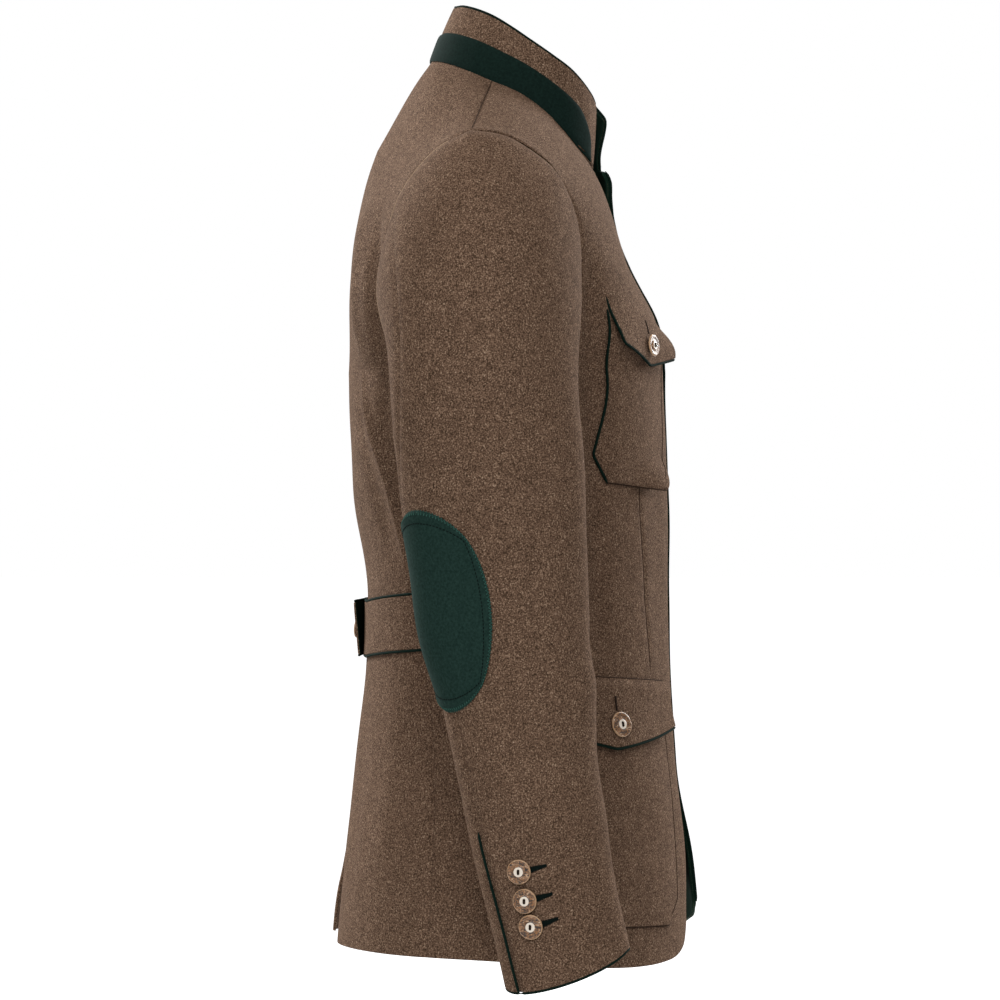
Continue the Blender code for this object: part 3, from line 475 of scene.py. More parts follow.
def chart(which, heights, start):
    """Points by arc length from the edge, which lies this far beyond the centre, and by height."""
    t = np.linspace(0, 1.3, 100)
    rows = []
    lines = np.linspace(0, CORNER[which], 121)
    line_heights = CENTRES[which](lines / CORNER[which])[:, 2]
    for h in heights:
        row = level(h, t, which) if h <= CHEST else upper(np.interp(h, line_heights, lines), t, which)
        along = tape(row)
        a = ARCS - start
        p = np.stack([np.interp(abs(a), along, row[:, k]) for k in range(3)], -1)
        p[:, 0] *= np.where(a < 0, -1, 1)
        rows.append(p)
    return np.array(rows)


FRONT_CHART = chart(0, HEIGHTS, OVERLAP)
BACK_CHART = chart(1, HEIGHTS, 0)


def look_up(table, arc, height):
    """A cubic look-up in a chart, for whole arrays of arcs and heights."""
    def place(x, start, count):
        x = np.clip((x - start) / STEP, 1, count - 3)
        i = np.floor(x).astype(int)
        f = x - i
        weights = (
            -0.5 * f + f**2 - 0.5 * f**3,
            1 - 2.5 * f**2 + 1.5 * f**3,
            0.5 * f + 2 * f**2 - 1.5 * f**3,
            -0.5 * f**2 + 0.5 * f**3,
        )
        return i, weights

    i, wi = place(arc, ARCS[0], len(ARCS))
    j, wj = place(height, HEIGHTS[0], len(HEIGHTS))
    total = 0
    for a in range(4):
        for b in range(4):
            total = total + (wi[a] * wj[b])[..., None] * table[j + b - 1, i + a - 1]
    return total


def front_shift(arc, z, left):
    """How far a front lies out of the common surface: the right one sinks under the left at the edge, and the
    left one flares forward below the last button and at the collar."""
    if not left:
        swell = ease((arc - 0.043) / 0.017) * (1 - ease((arc - 0.066) / 0.040))
        swell = swell * (1 - ease((z + 0.26) / 0.05)) * (1 - ease((-0.650 - z) / 0.05))
        return RIGHT_SWELL * swell - (SINK + EDGE_ROLL) * (1 - ease((arc - 0.041) / 0.018))
    low = HEM_FLARE * ease((-0.553 - z) / 0.112) * (1 - ease(arc / 0.130))
    high = NECK_FLARE * ease((z + 0.095) / 0.030) + NECK_SWELL * np.exp(-(((z + 0.128) / 0.026) ** 2))
    roll = EDGE_ROLL * ease(arc / 0.011) * (1 - ease((arc - 0.050) / 0.080))
    return low + high * (1 - ease(arc / 0.060)) - roll


def back_shift(arc, z, left):
    """At the vent the left back lies over the right one."""
    if not left:
        return 0 * arc
    return VENT_FLARE * ease((VENT_TOP - z) / 0.095) * (1 - ease(arc / 0.060))


print("charts", FRONT_CHART.shape, BACK_CHART.shape)


# %% [markdown]
# ## From a grid of points to cloth
# A panel is a grid of points with a thickness. Faces made straight from the grid keep the outside, the
# inside and the edges of the cloth in one closed mesh. A Solidify modifier would do that too, but would not
# say where each side meets a seam.


# %% Grids, normals and meshes
CREASE = math.radians(50)  # an edge that turns further than this is shaded as folded


def grid_normals(grid, inside):
    """The direction out of a grid at each of its points, away from a point inside."""
    n = unit(np.cross(np.gradient(grid, axis=0), np.gradient(grid, axis=1)))
    return n if np.sum(n * (grid - inside)) > 0 else -n


def mesh_piece(name, points, faces, material):
    """A mesh object from points and quads, turned to face out and shaded smooth but for its folded edges."""
    points, faces = np.asarray(points, float), np.asarray(faces, int)
    a, b, c, d = (points[faces[:, k]] for k in range(4))
    volume = np.sum(a * np.cross(b, c)) + np.sum(a * np.cross(c, d))
    if volume < 0:
        faces = faces[:, ::-1]
    mesh = bpy.data.meshes.new(name)
    mesh.vertices.add(len(points))
    mesh.vertices.foreach_set("co", points.astype(np.float32).ravel())
    mesh.loops.add(faces.size)
    mesh.loops.foreach_set("vertex_index", faces.astype(np.int32).ravel())
    mesh.polygons.add(len(faces))
    mesh.polygons.foreach_set("loop_start", np.arange(0, faces.size, 4, dtype=np.int32))
    mesh.update(calc_edges=True)
    mesh.validate()
    mesh.shade_smooth()
    mesh.set_sharp_from_angle(angle=CREASE)
    mesh.materials.append(material)
    piece = bpy.data.objects.new(name, mesh)
    bpy.context.scene.collection.objects.link(piece)
    return piece


def slab(outer, inner):
    """Points and quads of the closed solid between two grids."""
    rows, across = outer.shape[:2]
    points = np.concatenate([outer.reshape(-1, 3), inner.reshape(-1, 3)])
    at = np.arange(rows * across).reshape(rows, across)
    under = at + rows * across
    top = np.stack([at[:-1, :-1], at[1:, :-1], at[1:, 1:], at[:-1, 1:]], -1).reshape(-1, 4)
    low = np.stack([under[:-1, :-1], under[:-1, 1:], under[1:, 1:], under[1:, :-1]], -1).reshape(-1, 4)
    rim = [(i, 0) for i in range(rows)] + [(rows - 1, j) for j in range(1, across)]
    rim += [(i, across - 1) for i in range(rows - 2, -1, -1)] + [(0, j) for j in range(across - 2, 0, -1)]
    a = np.array([at[k] for k in rim])
    b = np.array([under[k] for k in rim])
    side = np.stack([np.roll(a, -1), a, b, np.roll(b, -1)], -1)
    return points, np.concatenate([top, low, side])


def size_of(grid):
    """Width, length and area of a grid of cloth, laid flat."""
    across = np.linalg.norm(np.diff(grid, axis=1), axis=2).sum(1).max()
    along = np.linalg.norm(np.diff(grid, axis=0), axis=2).sum(0).max()
    a, b = grid[1:, 1:] - grid[:-1, :-1], grid[1:, :-1] - grid[:-1, 1:]
    return across, along, 0.5 * np.linalg.norm(np.cross(a, b), axis=2).sum()


PIECES = {}  # every sheet of cloth, with its width, length and area


def cloth(name, outer, thickness, material, node, side, normals):
    """One cut piece of cloth: its mesh, the frame's node that it stands for, and its size as a sheet."""
    points, faces = slab(outer, outer - np.asarray(thickness)[..., None] * normals)
    piece = mesh_piece(name, points * (side, 1, 1), faces, material)
    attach(piece, "root")
    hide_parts(node)
    width, length, area = size_of(outer)
    PIECES[name] = piece, width, length, min(area, width * length)
    return piece


NO_CORD_WAY = 0.31, 0.52, 0.79  # a direction in which no cord sets out


def round_wall(route, radii, sides):
    """Points and quads of a closed round tube through a list of points, with a radius at each."""
    along = unit(np.gradient(route, axis=0))
    normal = unit(np.cross(along[0], NO_CORD_WAY))
    turn = 2 * math.pi * np.arange(sides) / sides
    points, faces = [], []
    for p, t, r in zip(route, along, radii):
        normal = unit(normal - t * (normal @ t))
        other = np.cross(t, normal)
        points += list(p + r * (np.cos(turn)[:, None] * normal + np.sin(turn)[:, None] * other))
    for i in range(len(route) - 1):
        for k in range(sides):
            m = (k + 1) % sides
            faces.append((i * sides + k, i * sides + m, (i + 1) * sides + m, (i + 1) * sides + k))
    last = (len(route) - 1) * sides
    for k in range(1, sides // 2):
        faces.append((k - 1, k, sides - 1 - k, (sides - k) % sides))
        faces.append((last + (sides - k) % sides, last + sides - 1 - k, last + k, last + k - 1))
    return points, faces


def tube(name, route, radius, material, side=1, sides=10):
    """A round cord along a list of points, with rounded ends."""
    radii = np.full(len(route), float(radius))
    radii[[0, -1]] *= 0.35
    points, faces = round_wall(np.array(route) * (side, 1, 1), radii, sides)
    return mesh_piece(name, points, faces, material)


def stitches(name, routes, radius, material, side):
    """Short stitches in one mesh, each a round bar along its own route."""
    points, faces = [], []
    for route in routes:
        radii = np.full(len(route), float(radius))
        radii[[0, -1]] *= 0.5
        bar_points, bar_faces = round_wall(np.array(route), radii, 6)
        faces += [tuple(i + len(points) for i in f) for f in bar_faces]
        points += bar_points
    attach(mesh_piece(name, np.array(points) * (side, 1, 1), faces, material), "root")


def resample(route, spacing):
    """A smooth run of points through a rough one, at even steps."""
    route = np.array(route)
    length = np.linalg.norm(np.diff(route, axis=0), axis=1).sum()
    return path(route)(np.linspace(0, 1, max(int(length / spacing), 3) + 1))


def cord(name, route, node, side=1, radius=PIPING):
    """A green cord sewn along a route, and the frame's node that it stands for, if there is one."""
    piece = tube(name, resample(route, 0.0035), radius, GREEN_CORD, side)
    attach(piece, "root")
    if node:
        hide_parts(node)


# %% [markdown]
# ## Soft folds
# Worn loden never lies quite flat. Each fold here is a line on the jacket with a width and a height, and
# cloth near it is pushed out or in with a bell-shaped profile. They are listed one by one, because a
# simulation would not fall into the same folds twice and would take minutes.


# %% Folds
FADE = 0.25  # the share of a fold's length over which it fades at each end
WAVES = (0.16, 0.0011), (0.085, 0.0006)  # lengths and heights of the cloth's own unevenness


def bell(points, line, width, height):
    """How far points near a line in space are pushed out: a bell across the line, fading at its ends."""
    line = np.array(line)
    lengths = np.linalg.norm(np.diff(line, axis=0), axis=1)
    best = np.full(points.shape[:-1], 1e9)
    share = np.zeros(points.shape[:-1])
    start = 0.0
    for a, b, length in zip(line[:-1], line[1:], lengths):
        f = np.clip(((points - a) @ (b - a)) / length**2, 0, 1)
        gap = np.linalg.norm(points - (a + f[..., None] * (b - a)), axis=-1)
        nearer = gap < best
        best = np.where(nearer, gap, best)
        share = np.where(nearer, (start + f * length) / lengths.sum(), share)
        start += length
    ends = ease(share / FADE) * ease((1 - share) / FADE)
    return height * ends * np.exp(-((best / width) ** 2))


def wander(points):
    """A gentle unevenness: a few long waves, in directions that a fixed seed draws."""
    rng = np.random.default_rng(3)
    total = np.zeros(points.shape[:-1])
    for length, height in WAVES:
        for _ in range(4):
            direction = unit(rng.normal(size=3))
            total += height / 2 * np.sin(points @ direction * 2 * math.pi / length + rng.uniform(0, 6.28))
    return total


def fold_push(points, folds, side):
    """How far the folds and the cloth's unevenness push points of the wearer's left side out. The right side
    takes the same folds mirrored, with an unevenness of its own."""
    push = wander(points * (side, 1, 1))
    for line, width, height in folds:
        push = push + bell(points, line, width, height)
    return push


# %% [markdown]
# ## Wool, felt, cord and horn
# Loden is wool, milled until its weave closes, so the eye sees mottled fibre and a soft bloom at grazing
# angles. Felt is denser and smoother. Stag horn is polished, and is pale where it was cut deep.


# %% Colour and node helpers
def linear(code):
    """An sRGB hex colour as the linear values that a shader takes."""
    srgb = [int(code[k : k + 2], 16) / 255 for k in (0, 2, 4)]
    return tuple(v / 12.92 if v <= 0.04045 else ((v + 0.055) / 1.055) ** 2.4 for v in srgb) + (1,)


def add(tree, kind, inputs=None, **settings):
    """Adds a node, sets its properties, and sets or links its inputs."""
    node = tree.nodes.new(kind)
    for key, value in settings.items():
        setattr(node, key, value)
    for key, value in (inputs or {}).items():
        if isinstance(value, bpy.types.NodeSocket):
            tree.links.new(value, node.inputs[key])
        else:
            node.inputs[key].default_value = value
    return node


def ramp(tree, factor, stops):
    """A colour ramp with its stops given as position and hex colour."""
    node = add(tree, "ShaderNodeValToRGB", {0: factor})
    elements = node.color_ramp.elements
    while len(elements) < len(stops):
        elements.new(0.5)
    for element, (position, code) in zip(elements, stops):
        element.position = position
        element.color = linear(code)
    return node.outputs["Color"]


def finish(name):
    """A new material, with its node tree and its shader."""
    material = bpy.data.materials.new(name)
    material.use_nodes = True
    tree = material.node_tree
    return material, tree, tree.nodes["Principled BSDF"]


def set_sockets(shader, values):
    """Sets values on the shader's own sockets."""
    for key, value in values.items():
        shader.inputs[key].default_value = value


def noise(tree, where, mm, detail, roughness, distortion=0.0):
    """Noise whose features are about this many millimetres across."""
    inputs = {"Vector": where, "Scale": 1000 / mm, "Detail": detail, "Roughness": roughness}
    return add(tree, "ShaderNodeTexNoise", {**inputs, "Distortion": distortion}).outputs["Fac"]


# %% Loden
def loden(name, stops, blotch=0.10):
    """Milled wool: tufts about 1.2 mm across, in clouds of 9 mm, with a soft bloom. A wool fibre is too fine to
    show in a render, so the tufts are drawn in its place."""
    material, tree, shader = finish(name)
    where = add(tree, "ShaderNodeTexCoord").outputs["Object"]
    fibre = noise(tree, where, 1.15, 2, 0.7)
    cloud = noise(tree, where, 9, 2, 0.5)
    mixed = add(tree, "ShaderNodeMath", {0: cloud, 1: blotch, 2: fibre}, operation="MULTIPLY_ADD").outputs[0]
    centred = add(tree, "ShaderNodeMath", {0: mixed, 1: blotch / 2}, operation="SUBTRACT").outputs[0]
    tree.links.new(ramp(tree, centred, stops), shader.inputs["Base Color"])
    nap = noise(tree, where, 1.4, 2, 0.6)
    height = add(tree, "ShaderNodeMath", {0: nap, 1: 0.5, 2: fibre}, operation="MULTIPLY_ADD")
    bump = add(tree, "ShaderNodeBump", {"Height": height.outputs[0], "Strength": 0.5, "Distance": 0.0004})
    tree.links.new(bump.outputs[0], shader.inputs["Normal"])
    bloom = {"Sheen Weight": 0.015, "Sheen Roughness": 0.45, "Sheen Tint": linear("a8937f")}
    set_sockets(shader, {"Roughness": 0.95, "IOR": 1.45, "Specular IOR Level": 0.02, **bloom})
    return material


BROWN_LODEN = loden(
    "grey-brown loden",
    [(0.26, "20170f"), (0.41, "3d2f24"), (0.51, "544135"), (0.62, "705a49"), (0.78, "a6937f")],
)


# %% Felt and cord
def felt(name, code, pale, mm, bump_height):
    """Dense wool felt, wound cord or thread: nearly one colour, with a matt grain, which is drawn coarser than
    the real fibre so that it shows."""
    material, tree, shader = finish(name)
    where = add(tree, "ShaderNodeTexCoord").outputs["Object"]
    grain = noise(tree, where, mm, 3, 0.7)
    tree.links.new(ramp(tree, grain, [(0.3, code), (0.75, pale)]), shader.inputs["Base Color"])
    bump = add(tree, "ShaderNodeBump", {"Height": grain, "Strength": 0.5, "Distance": bump_height})
    tree.links.new(bump.outputs[0], shader.inputs["Normal"])
    bloom = {"Sheen Weight": 0.01, "Sheen Roughness": 0.5, "Sheen Tint": linear("6f8a80")}
    set_sockets(shader, {"Roughness": 0.95, "Specular IOR Level": 0.03, **bloom})
    return material


# %% Greens and browns
GREEN_FELT = felt("dark green wool felt", "11211d", "21342f", 2.0, 0.0003)
DARK_FELT = felt("darker green wool felt", "0a1512", "14231f", 2.0, 0.0003)
GREEN_LINING = felt("dark green facing cloth", "0b1914", "172b20", 1.2, 0.0002)
GREEN_CORD = felt("dark green wool cord", "06110d", "0e1f19", 1.0, 0.0003)
GREEN_THREAD = felt("teal stitching thread", "1d3a33", "3d6056", 0.8, 0.0001)
DARK_THREAD = felt("dark green stitching thread", "070d0b", "0f1816", 0.8, 0.0001)
BROWN_THREAD = felt("dark brown buttonhole thread", "150e0a", "2a1e17", 0.8, 0.0001)
# painted shade: dark brown thread laid in the shadow of sewn seams, also used for the pockets' stitches
SEAM_SHADE_AND_STITCH = felt("brown thread for stitches and painted seam shade", "241a14", "3a2b21", 0.8, 0.0001)
# painted highlight: a pale line along the ridge of the armhole seam
SEAM_HIGHLIGHT = felt("painted highlight on a seam's edge", "7c6654", "ab947d", 1.2, 0.0001)


# %% Stag horn
def horn():
    """Polished stag horn: grey-brown with dark streaks, tan spots and cream patches."""
    material, tree, shader = finish("polished stag horn")
    where = add(tree, "ShaderNodeTexCoord").outputs["Object"]
    streak_frame = add(tree, "ShaderNodeMapping", {"Vector": where, "Scale": (1, 1, 2.2)}).outputs[0]
    streaks = noise(tree, streak_frame, 3.4, 4, 0.7, 1.5)
    stops = [(0.34, "0c0807"), (0.44, "2a1e18"), (0.50, "54402f"), (0.54, "9a622c"), (0.58, "66503f")]
    stops += [(0.64, "b59c80"), (0.73, "e6dac8")]
    tree.links.new(ramp(tree, streaks, stops), shader.inputs["Base Color"])
    set_sockets(shader, {"Roughness": 0.50, "IOR": 1.54, "Coat Weight": 0.05, "Coat Roughness": 0.15})
    return material


def cut_face_and_highlight(name, code, roughness):
    """Horn of nearly one colour on a small face, for the pale face where it was cut and for the painted
    highlight on the rim.
    """
    material, _, shader = finish(name)
    set_sockets(shader, {"Base Color": linear(code), "Roughness": roughness})
    return material


STAG_HORN = horn()
PALE_HORN = cut_face_and_highlight("cut face of stag horn", "cfc4b6", 0.35)
# a painted highlight along the top of a button's rim
RIM_HIGHLIGHT = cut_face_and_highlight("painted highlight on a horn button's rim", "9c7c5c", 0.45)
print("finishes", [m.name for m in bpy.data.materials])


# %% [markdown]
# ## Fronts, sides and backs
# The body is cut in six: two fronts, two side panels and two backs. The right front runs under the left
# one, and the left back laps over the right one at the vent.


# %% Folds of the body
# Each fold: points on the wearer's left as x, y, z, its width, and its height, which is below 0 for a
# trough. The right side takes the same folds, mirrored.
BODY_FOLDS = (
    # beside the back of the armhole: a trough, and the roll of cloth behind it
    (
        ((0.150, 0.101, -0.09), (0.176, 0.0995, -0.150), (0.180, 0.0985, -0.195),
         (0.164, 0.098, -0.240), (0.154, 0.0955, -0.285), (0.160, 0.083, -0.335),
         (0.163, 0.075, -0.375)),
        0.012, -0.0076,
    ),
    (
        ((0.105, 0.110, -0.09), (0.134, 0.1126, -0.148), (0.135, 0.1148, -0.196),
         (0.118, 0.113, -0.235)),
        0.014, 0.0036,
    ),
    # from the middle of the back to the end of the half belt
    (
        ((0.106, 0.1145, -0.225), (0.118, 0.110, -0.255), (0.140, 0.096, -0.305),
         (0.146, 0.0885, -0.331), (0.1485, 0.0814, -0.363), (0.152, 0.0749, -0.389),
         (0.156, 0.069, -0.418)),
        0.0055, 0.0034,
    ),
    (
        ((0.094, 0.120, -0.235), (0.108, 0.114, -0.275), (0.124, 0.104, -0.315),
         (0.132, 0.096, -0.350), (0.136, 0.089, -0.395)),
        0.010, -0.0020,
    ),
    # beside the front of the armhole and under the arm
    (
        ((0.172, -0.068, -0.120), (0.182, -0.070, -0.180), (0.176, -0.072, -0.230),
         (0.168, -0.073, -0.290), (0.160, -0.075, -0.345), (0.153, -0.077, -0.420),
         (0.153, -0.080, -0.480)),
        0.011, -0.0045,
    ),
    # below the belt
    (((0.150, 0.082, -0.47), (0.150, 0.092, -0.56), (0.158, 0.098, -0.66)), 0.018, 0.0018),
    (((0.085, 0.105, -0.48), (0.088, 0.118, -0.58), (0.090, 0.126, -0.68)), 0.022, -0.0016),
    # the dart
    (
        ((0.1150, -0.1125, -0.322), (0.1076, -0.1152, -0.364), (0.1012, -0.1176, -0.396),
         (0.0979, -0.1195, -0.436), (0.0962, -0.1207, -0.486)),
        0.0030, -0.0012,
    ),
    # the yoke of the front, from the armhole towards the chest
    (((0.176, -0.080, -0.115), (0.150, -0.102, -0.135), (0.115, -0.120, -0.150)), 0.014, -0.0016),
    (((0.170, -0.078, -0.085), (0.140, -0.098, -0.100), (0.100, -0.112, -0.115)), 0.014, 0.0012),
)


print(len(BODY_FOLDS), "folds of the body")


# %% Panels as grids
AROUND_FRONT, AROUND_BACK = 0.36, 0.62  # where the front ends and the back begins, by the way around
FRONT_COLUMNS, SIDE_COLUMNS, BACK_COLUMNS, FACING_COLUMNS = 110, 30, 64, 28
LOW_ROWS, FRONT_ROWS, BACK_ROWS = 115, 52, 62  # from the hem to the chest, and above it
NECK_ROW = LOW_ROWS + round(FRONT_ROWS * CORNER[0])  # of a front, at the foot of the collar
HELD_ROWS = 6  # over which the armhole takes hold, below the chest
CLOSING = np.array((1, 0.45, 0.15, 0))  # the last steps to a seam get shorter, for its sunk edge
INSIDE_BODY = np.array((0, 0, -0.4))


def row_height(around, share, dip=0.0):
    """The height of a row, by its share of the way from the hem to the chest."""
    hem = smooth(np.asarray(around, float), HEM["around"], HEM["z"])
    return hem + share * (CHEST - dip - hem)


def soften(grid, row, reach=13, rounds=50):
    """Evens out the crease that would run into a panel from its corner at the neck."""
    hold = np.sin(math.pi * np.linspace(0, 1, grid.shape[1]))[:, None] ** 0.5 / 2
    low, high = row - reach, row + reach
    for _ in range(rounds):
        between = (grid[low - 1 : high - 1] + grid[low + 1 : high + 1]) / 2
        grid[low:high] += hold * (between - grid[low:high])
    return grid


def half_panel(which, left, wide, low, high):
    """A front or back panel: rows from the hem to the shoulder, each from its edge or centre outward."""
    c = np.linspace(0, 1, wide + 1)
    c = np.concatenate([c[:-2], 1 - c[1] * CLOSING])
    r = np.linspace(0, 1, low + 1)[:-1, None]
    around = AROUND_FRONT * c if which == 0 else 1 - (1 - AROUND_BACK) * c
    z = row_height(around, r)
    seam = seam_share(z, which)
    width = smooth(z, BODY["z"], BODY["width"])
    first = -OVERLAP / (3 * HANDLES[0] * width) if which == 0 else 0 * z
    lower = level(z, first + (seam - first) * c, which)
    corner = CORNER[which]
    split = round(high * corner)
    past = np.linspace(corner, 1, high - split + 1)[1:-1]
    v = np.concatenate([np.linspace(0, corner, split + 1), past, 1 - (1 - past[-1]) * CLOSING[1:]])[:, None]
    t_edge = 0.0
    if which == 0:
        sample = upper(v[:, 0], 0.06, 0)[:, 0] / 0.06
        t_edge = np.where(v <= corner + 1e-9, -OVERLAP / np.maximum(sample, 0.15)[:, None], 0)
    above = upper(v, t_edge + (1 - t_edge) * c, which)
    grid = soften(np.concatenate([lower, above]), low + split)
    arc = np.cumsum(np.linalg.norm(np.diff(grid, axis=1), axis=2), axis=1)
    start = grid[:, :1, 0] - grid[0, 0, 0]
    arc = np.concatenate([start, start + arc], axis=1)
    shift = (front_shift, back_shift)[which](arc, grid[..., 2], left)
    grid[..., 1] += shift * (-1, 1)[which]
    if which == 1 and left:
        reach = VENT_REACH * ease((shift[:, 0] - 0.0024) / 0.0013)
        near = 1 - ease(arc / 0.040)
        grid[..., 0] -= reach[:, None] * near
        grid[..., 2] += 2.0 * shift
    if which == 0 and left:
        near_hem = 1 - ease((grid[..., 2] + 0.66) / 0.12)
        lift = smooth(np.minimum(arc, LEFT_HEM["arc"][-1]), LEFT_HEM["arc"], LEFT_HEM["lift"])
        grid[..., 2] += near_hem * lift
    return grid, arc


def side_point(share, z):
    """Points of a side panel, by their share of the way from its front seam to its back one."""
    first, last = seam_share(z, 0), 2 - seam_share(z, 1)
    t = first + (last - first) * share
    return np.where((t <= 1)[..., None], level(z, np.minimum(t, 1), 0), level(z, np.minimum(2 - t, 1), 1))


def underarm_dip(share):
    """How far the armhole dips below the chest, across a side panel."""
    return UNDERARM * np.sin(math.pi * np.clip(share, 0, 1)) ** 1.3


# %% Seams and free edges
SHOULDER_SEAM = 0.0003  # what each panel keeps clear of it


def edge_gap(grid, first=0.0, last=0.0):
    """Draws the two long edges of a panel in, which leaves the gap at a seam."""
    grid = grid.copy()
    grid[:, 0] += first * unit(grid[:, 1] - grid[:, 0])
    grid[:, -1] += last * unit(grid[:, -2] - grid[:, -1])
    return grid


def seam_sink(arc, at, width=0.0032, depth=0.0013):
    """A sewn seam lies a little lower than the cloth beside it."""
    return -depth * np.exp(-(((arc - at) / width) ** 2))


def shoulder_sink(grid, arc):
    """The same along a panel's last row, at the shoulder, but not at the neck, where the collar holds it."""
    steps = np.linalg.norm(np.diff(grid, axis=0), axis=2)[::-1]
    down = np.concatenate([np.zeros((1, grid.shape[1])), np.cumsum(steps, axis=0)])[::-1]
    return seam_sink(down, 0, 0.0022, 0.0020) * ease((arc - arc[:, :1]) / 0.020)


def face_inside(front, shape, row):
    """The left front's free edge is bound in the facing cloth, and so is its inside from this row up."""
    front.data.materials.append(GREEN_LINING)
    high, wide = shape[0] - 1, shape[1] - 1
    bound = np.zeros(len(front.data.polygons), np.int32)
    inner = bound[high * wide : 2 * high * wide].reshape(high, wide)
    inner[row:, :FACING_COLUMNS] = 1
    bound[2 * high * wide : 2 * high * wide + high] = 1
    bound[-FACING_COLUMNS:] = 1
    front.data.polygons.foreach_set("material_index", bound)


def held(arc, whole=False):
    """The share of its folds that a panel keeps. The armhole seam smooths its last column, or all of it."""
    rows = np.arange(len(arc))[:, None]
    near = 1 if whole else 1 - ease((arc[:, -1:] - arc) / 0.009)
    return (1 - near * ease((rows - LOW_ROWS + HELD_ROWS) / HELD_ROWS))[..., None]


# %% One half of the body
def body(side, word):
    """The front, back and side panel of one half of the body."""
    left = side > 0
    grid, arc = half_panel(0, left, FRONT_COLUMNS, LOW_ROWS, FRONT_ROWS)
    n = grid_normals(grid, INSIDE_BODY)
    grid = edge_gap(grid, last=SEAM) + fold_push(grid, BODY_FOLDS, side)[..., None] * n * held(arc)
    grid += (seam_sink(arc, arc[:, -1:]) + shoulder_sink(grid, arc))[..., None] * n
    grid[-1] += SHOULDER_SEAM * unit(grid[-2] - grid[-1])
    front = cloth(f"{word}_front_cloth", grid, CLOTH, BROWN_LODEN, f"front_{word}", side, n)
    if left:
        face_inside(front, grid.shape[:2], NECK_ROW - 2)

    grid, arc = half_panel(1, left, BACK_COLUMNS, LOW_ROWS, BACK_ROWS)
    n = grid_normals(grid, INSIDE_BODY)
    n[:, 0] = unit(n[:, 0] * (0, 1, 1))  # so that the two backs meet squarely at the centre seam
    grid = edge_gap(grid, 0.0, SEAM) + fold_push(grid, BODY_FOLDS, side)[..., None] * n * held(arc)
    grid += (seam_sink(arc, arc[:, -1:]) + seam_sink(arc, 0) + shoulder_sink(grid, arc))[..., None] * n
    grid[-1] += SHOULDER_SEAM * unit(grid[-2] - grid[-1])
    cloth(f"{word}_back_cloth", grid, CLOTH, BROWN_LODEN, f"back_{word}", side, n)

    s = np.linspace(0, 1, SIDE_COLUMNS + 1)
    r = np.linspace(0, 1, LOW_ROWS + 1)[:, None]
    z = row_height(AROUND_FRONT + (AROUND_BACK - AROUND_FRONT) * s, r, underarm_dip(s))
    grid = side_point(s + 0 * z, z)
    n = grid_normals(grid, INSIDE_BODY)
    grid = edge_gap(grid, SEAM, SEAM) + fold_push(grid, BODY_FOLDS, side)[..., None] * n * held(z, True)
    arc = np.cumsum(np.linalg.norm(np.diff(grid, axis=1, prepend=grid[:, :1]), axis=2), axis=1)
    grid += (seam_sink(arc, 0) + seam_sink(arc, arc[:, -1:]))[..., None] * n
    cloth(f"{word}_side_cloth", grid, CLOTH, BROWN_LODEN, f"side_{word}", side, n)


for side, word in SIDES:
    body(side, word)
print("body panels made")


# %% [markdown]
# ## Sleeves
# A tailored sleeve is a bent tube of two pieces. Its upper piece covers the outside of the arm, and its
# under piece the inside, and the hind seam between them carries the cuff slit. The head of the sleeve is
# fuller than the armhole, which gives the soft roll just outside the seam.


# %% Sleeve surface
SLEEVE_SHARE = (SLEEVE["front_z"] + SLEEVE["rear_z"])[0] - (SLEEVE["front_z"] + SLEEVE["rear_z"])
SLEEVE_SHARE = SLEEVE_SHARE / SLEEVE_SHARE[-1]


def sleeve_section(share):
    """The middle, half width and forward reach of the sleeve's ring, below the cap."""
    get = {c: smooth(share, SLEEVE_SHARE, SLEEVE[c]) for c in SLEEVE}
    front = np.stack([get["middle"], get["front_y"], get["front_z"]], -1)
    rear = np.stack([get["middle"], get["rear_y"], get["rear_z"]], -1)
    return (front + rear) / 2, get["width"], (front - rear) / 2


def sleeve_ring(share, angle):
    """Points of the sleeve below the cap, whose cuff drops towards its outer side."""
    centre, width, forward = sleeve_section(share)
    turn = np.radians(angle)
    drop = CUFF_DROP * np.maximum(np.cos(turn + 0.3), 0) * ease((share - 0.78) / 0.22)
    aside = np.stack([width * np.cos(turn), 0 * turn, -drop], -1)
    return centre + aside + forward * np.sin(turn)[..., None]


def armhole(angle):
    """The armhole, by an angle from its top through the front, the underarm and the back."""
    turn = angle % 360 / 360
    front = 0.35
    under = np.clip((turn - front) / (1 - 2 * front), 0, 1)
    under_point = side_point(under, CHEST - underarm_dip(under))
    fore = ARMHOLES[0](np.clip(1 - turn / front, 0, 1))
    rear = ARMHOLES[1](np.clip(1 - (1 - turn) / front, 0, 1))
    behind = np.where((turn >= 1 - front)[..., None], rear, under_point)
    return np.where((turn <= front)[..., None], fore, behind)


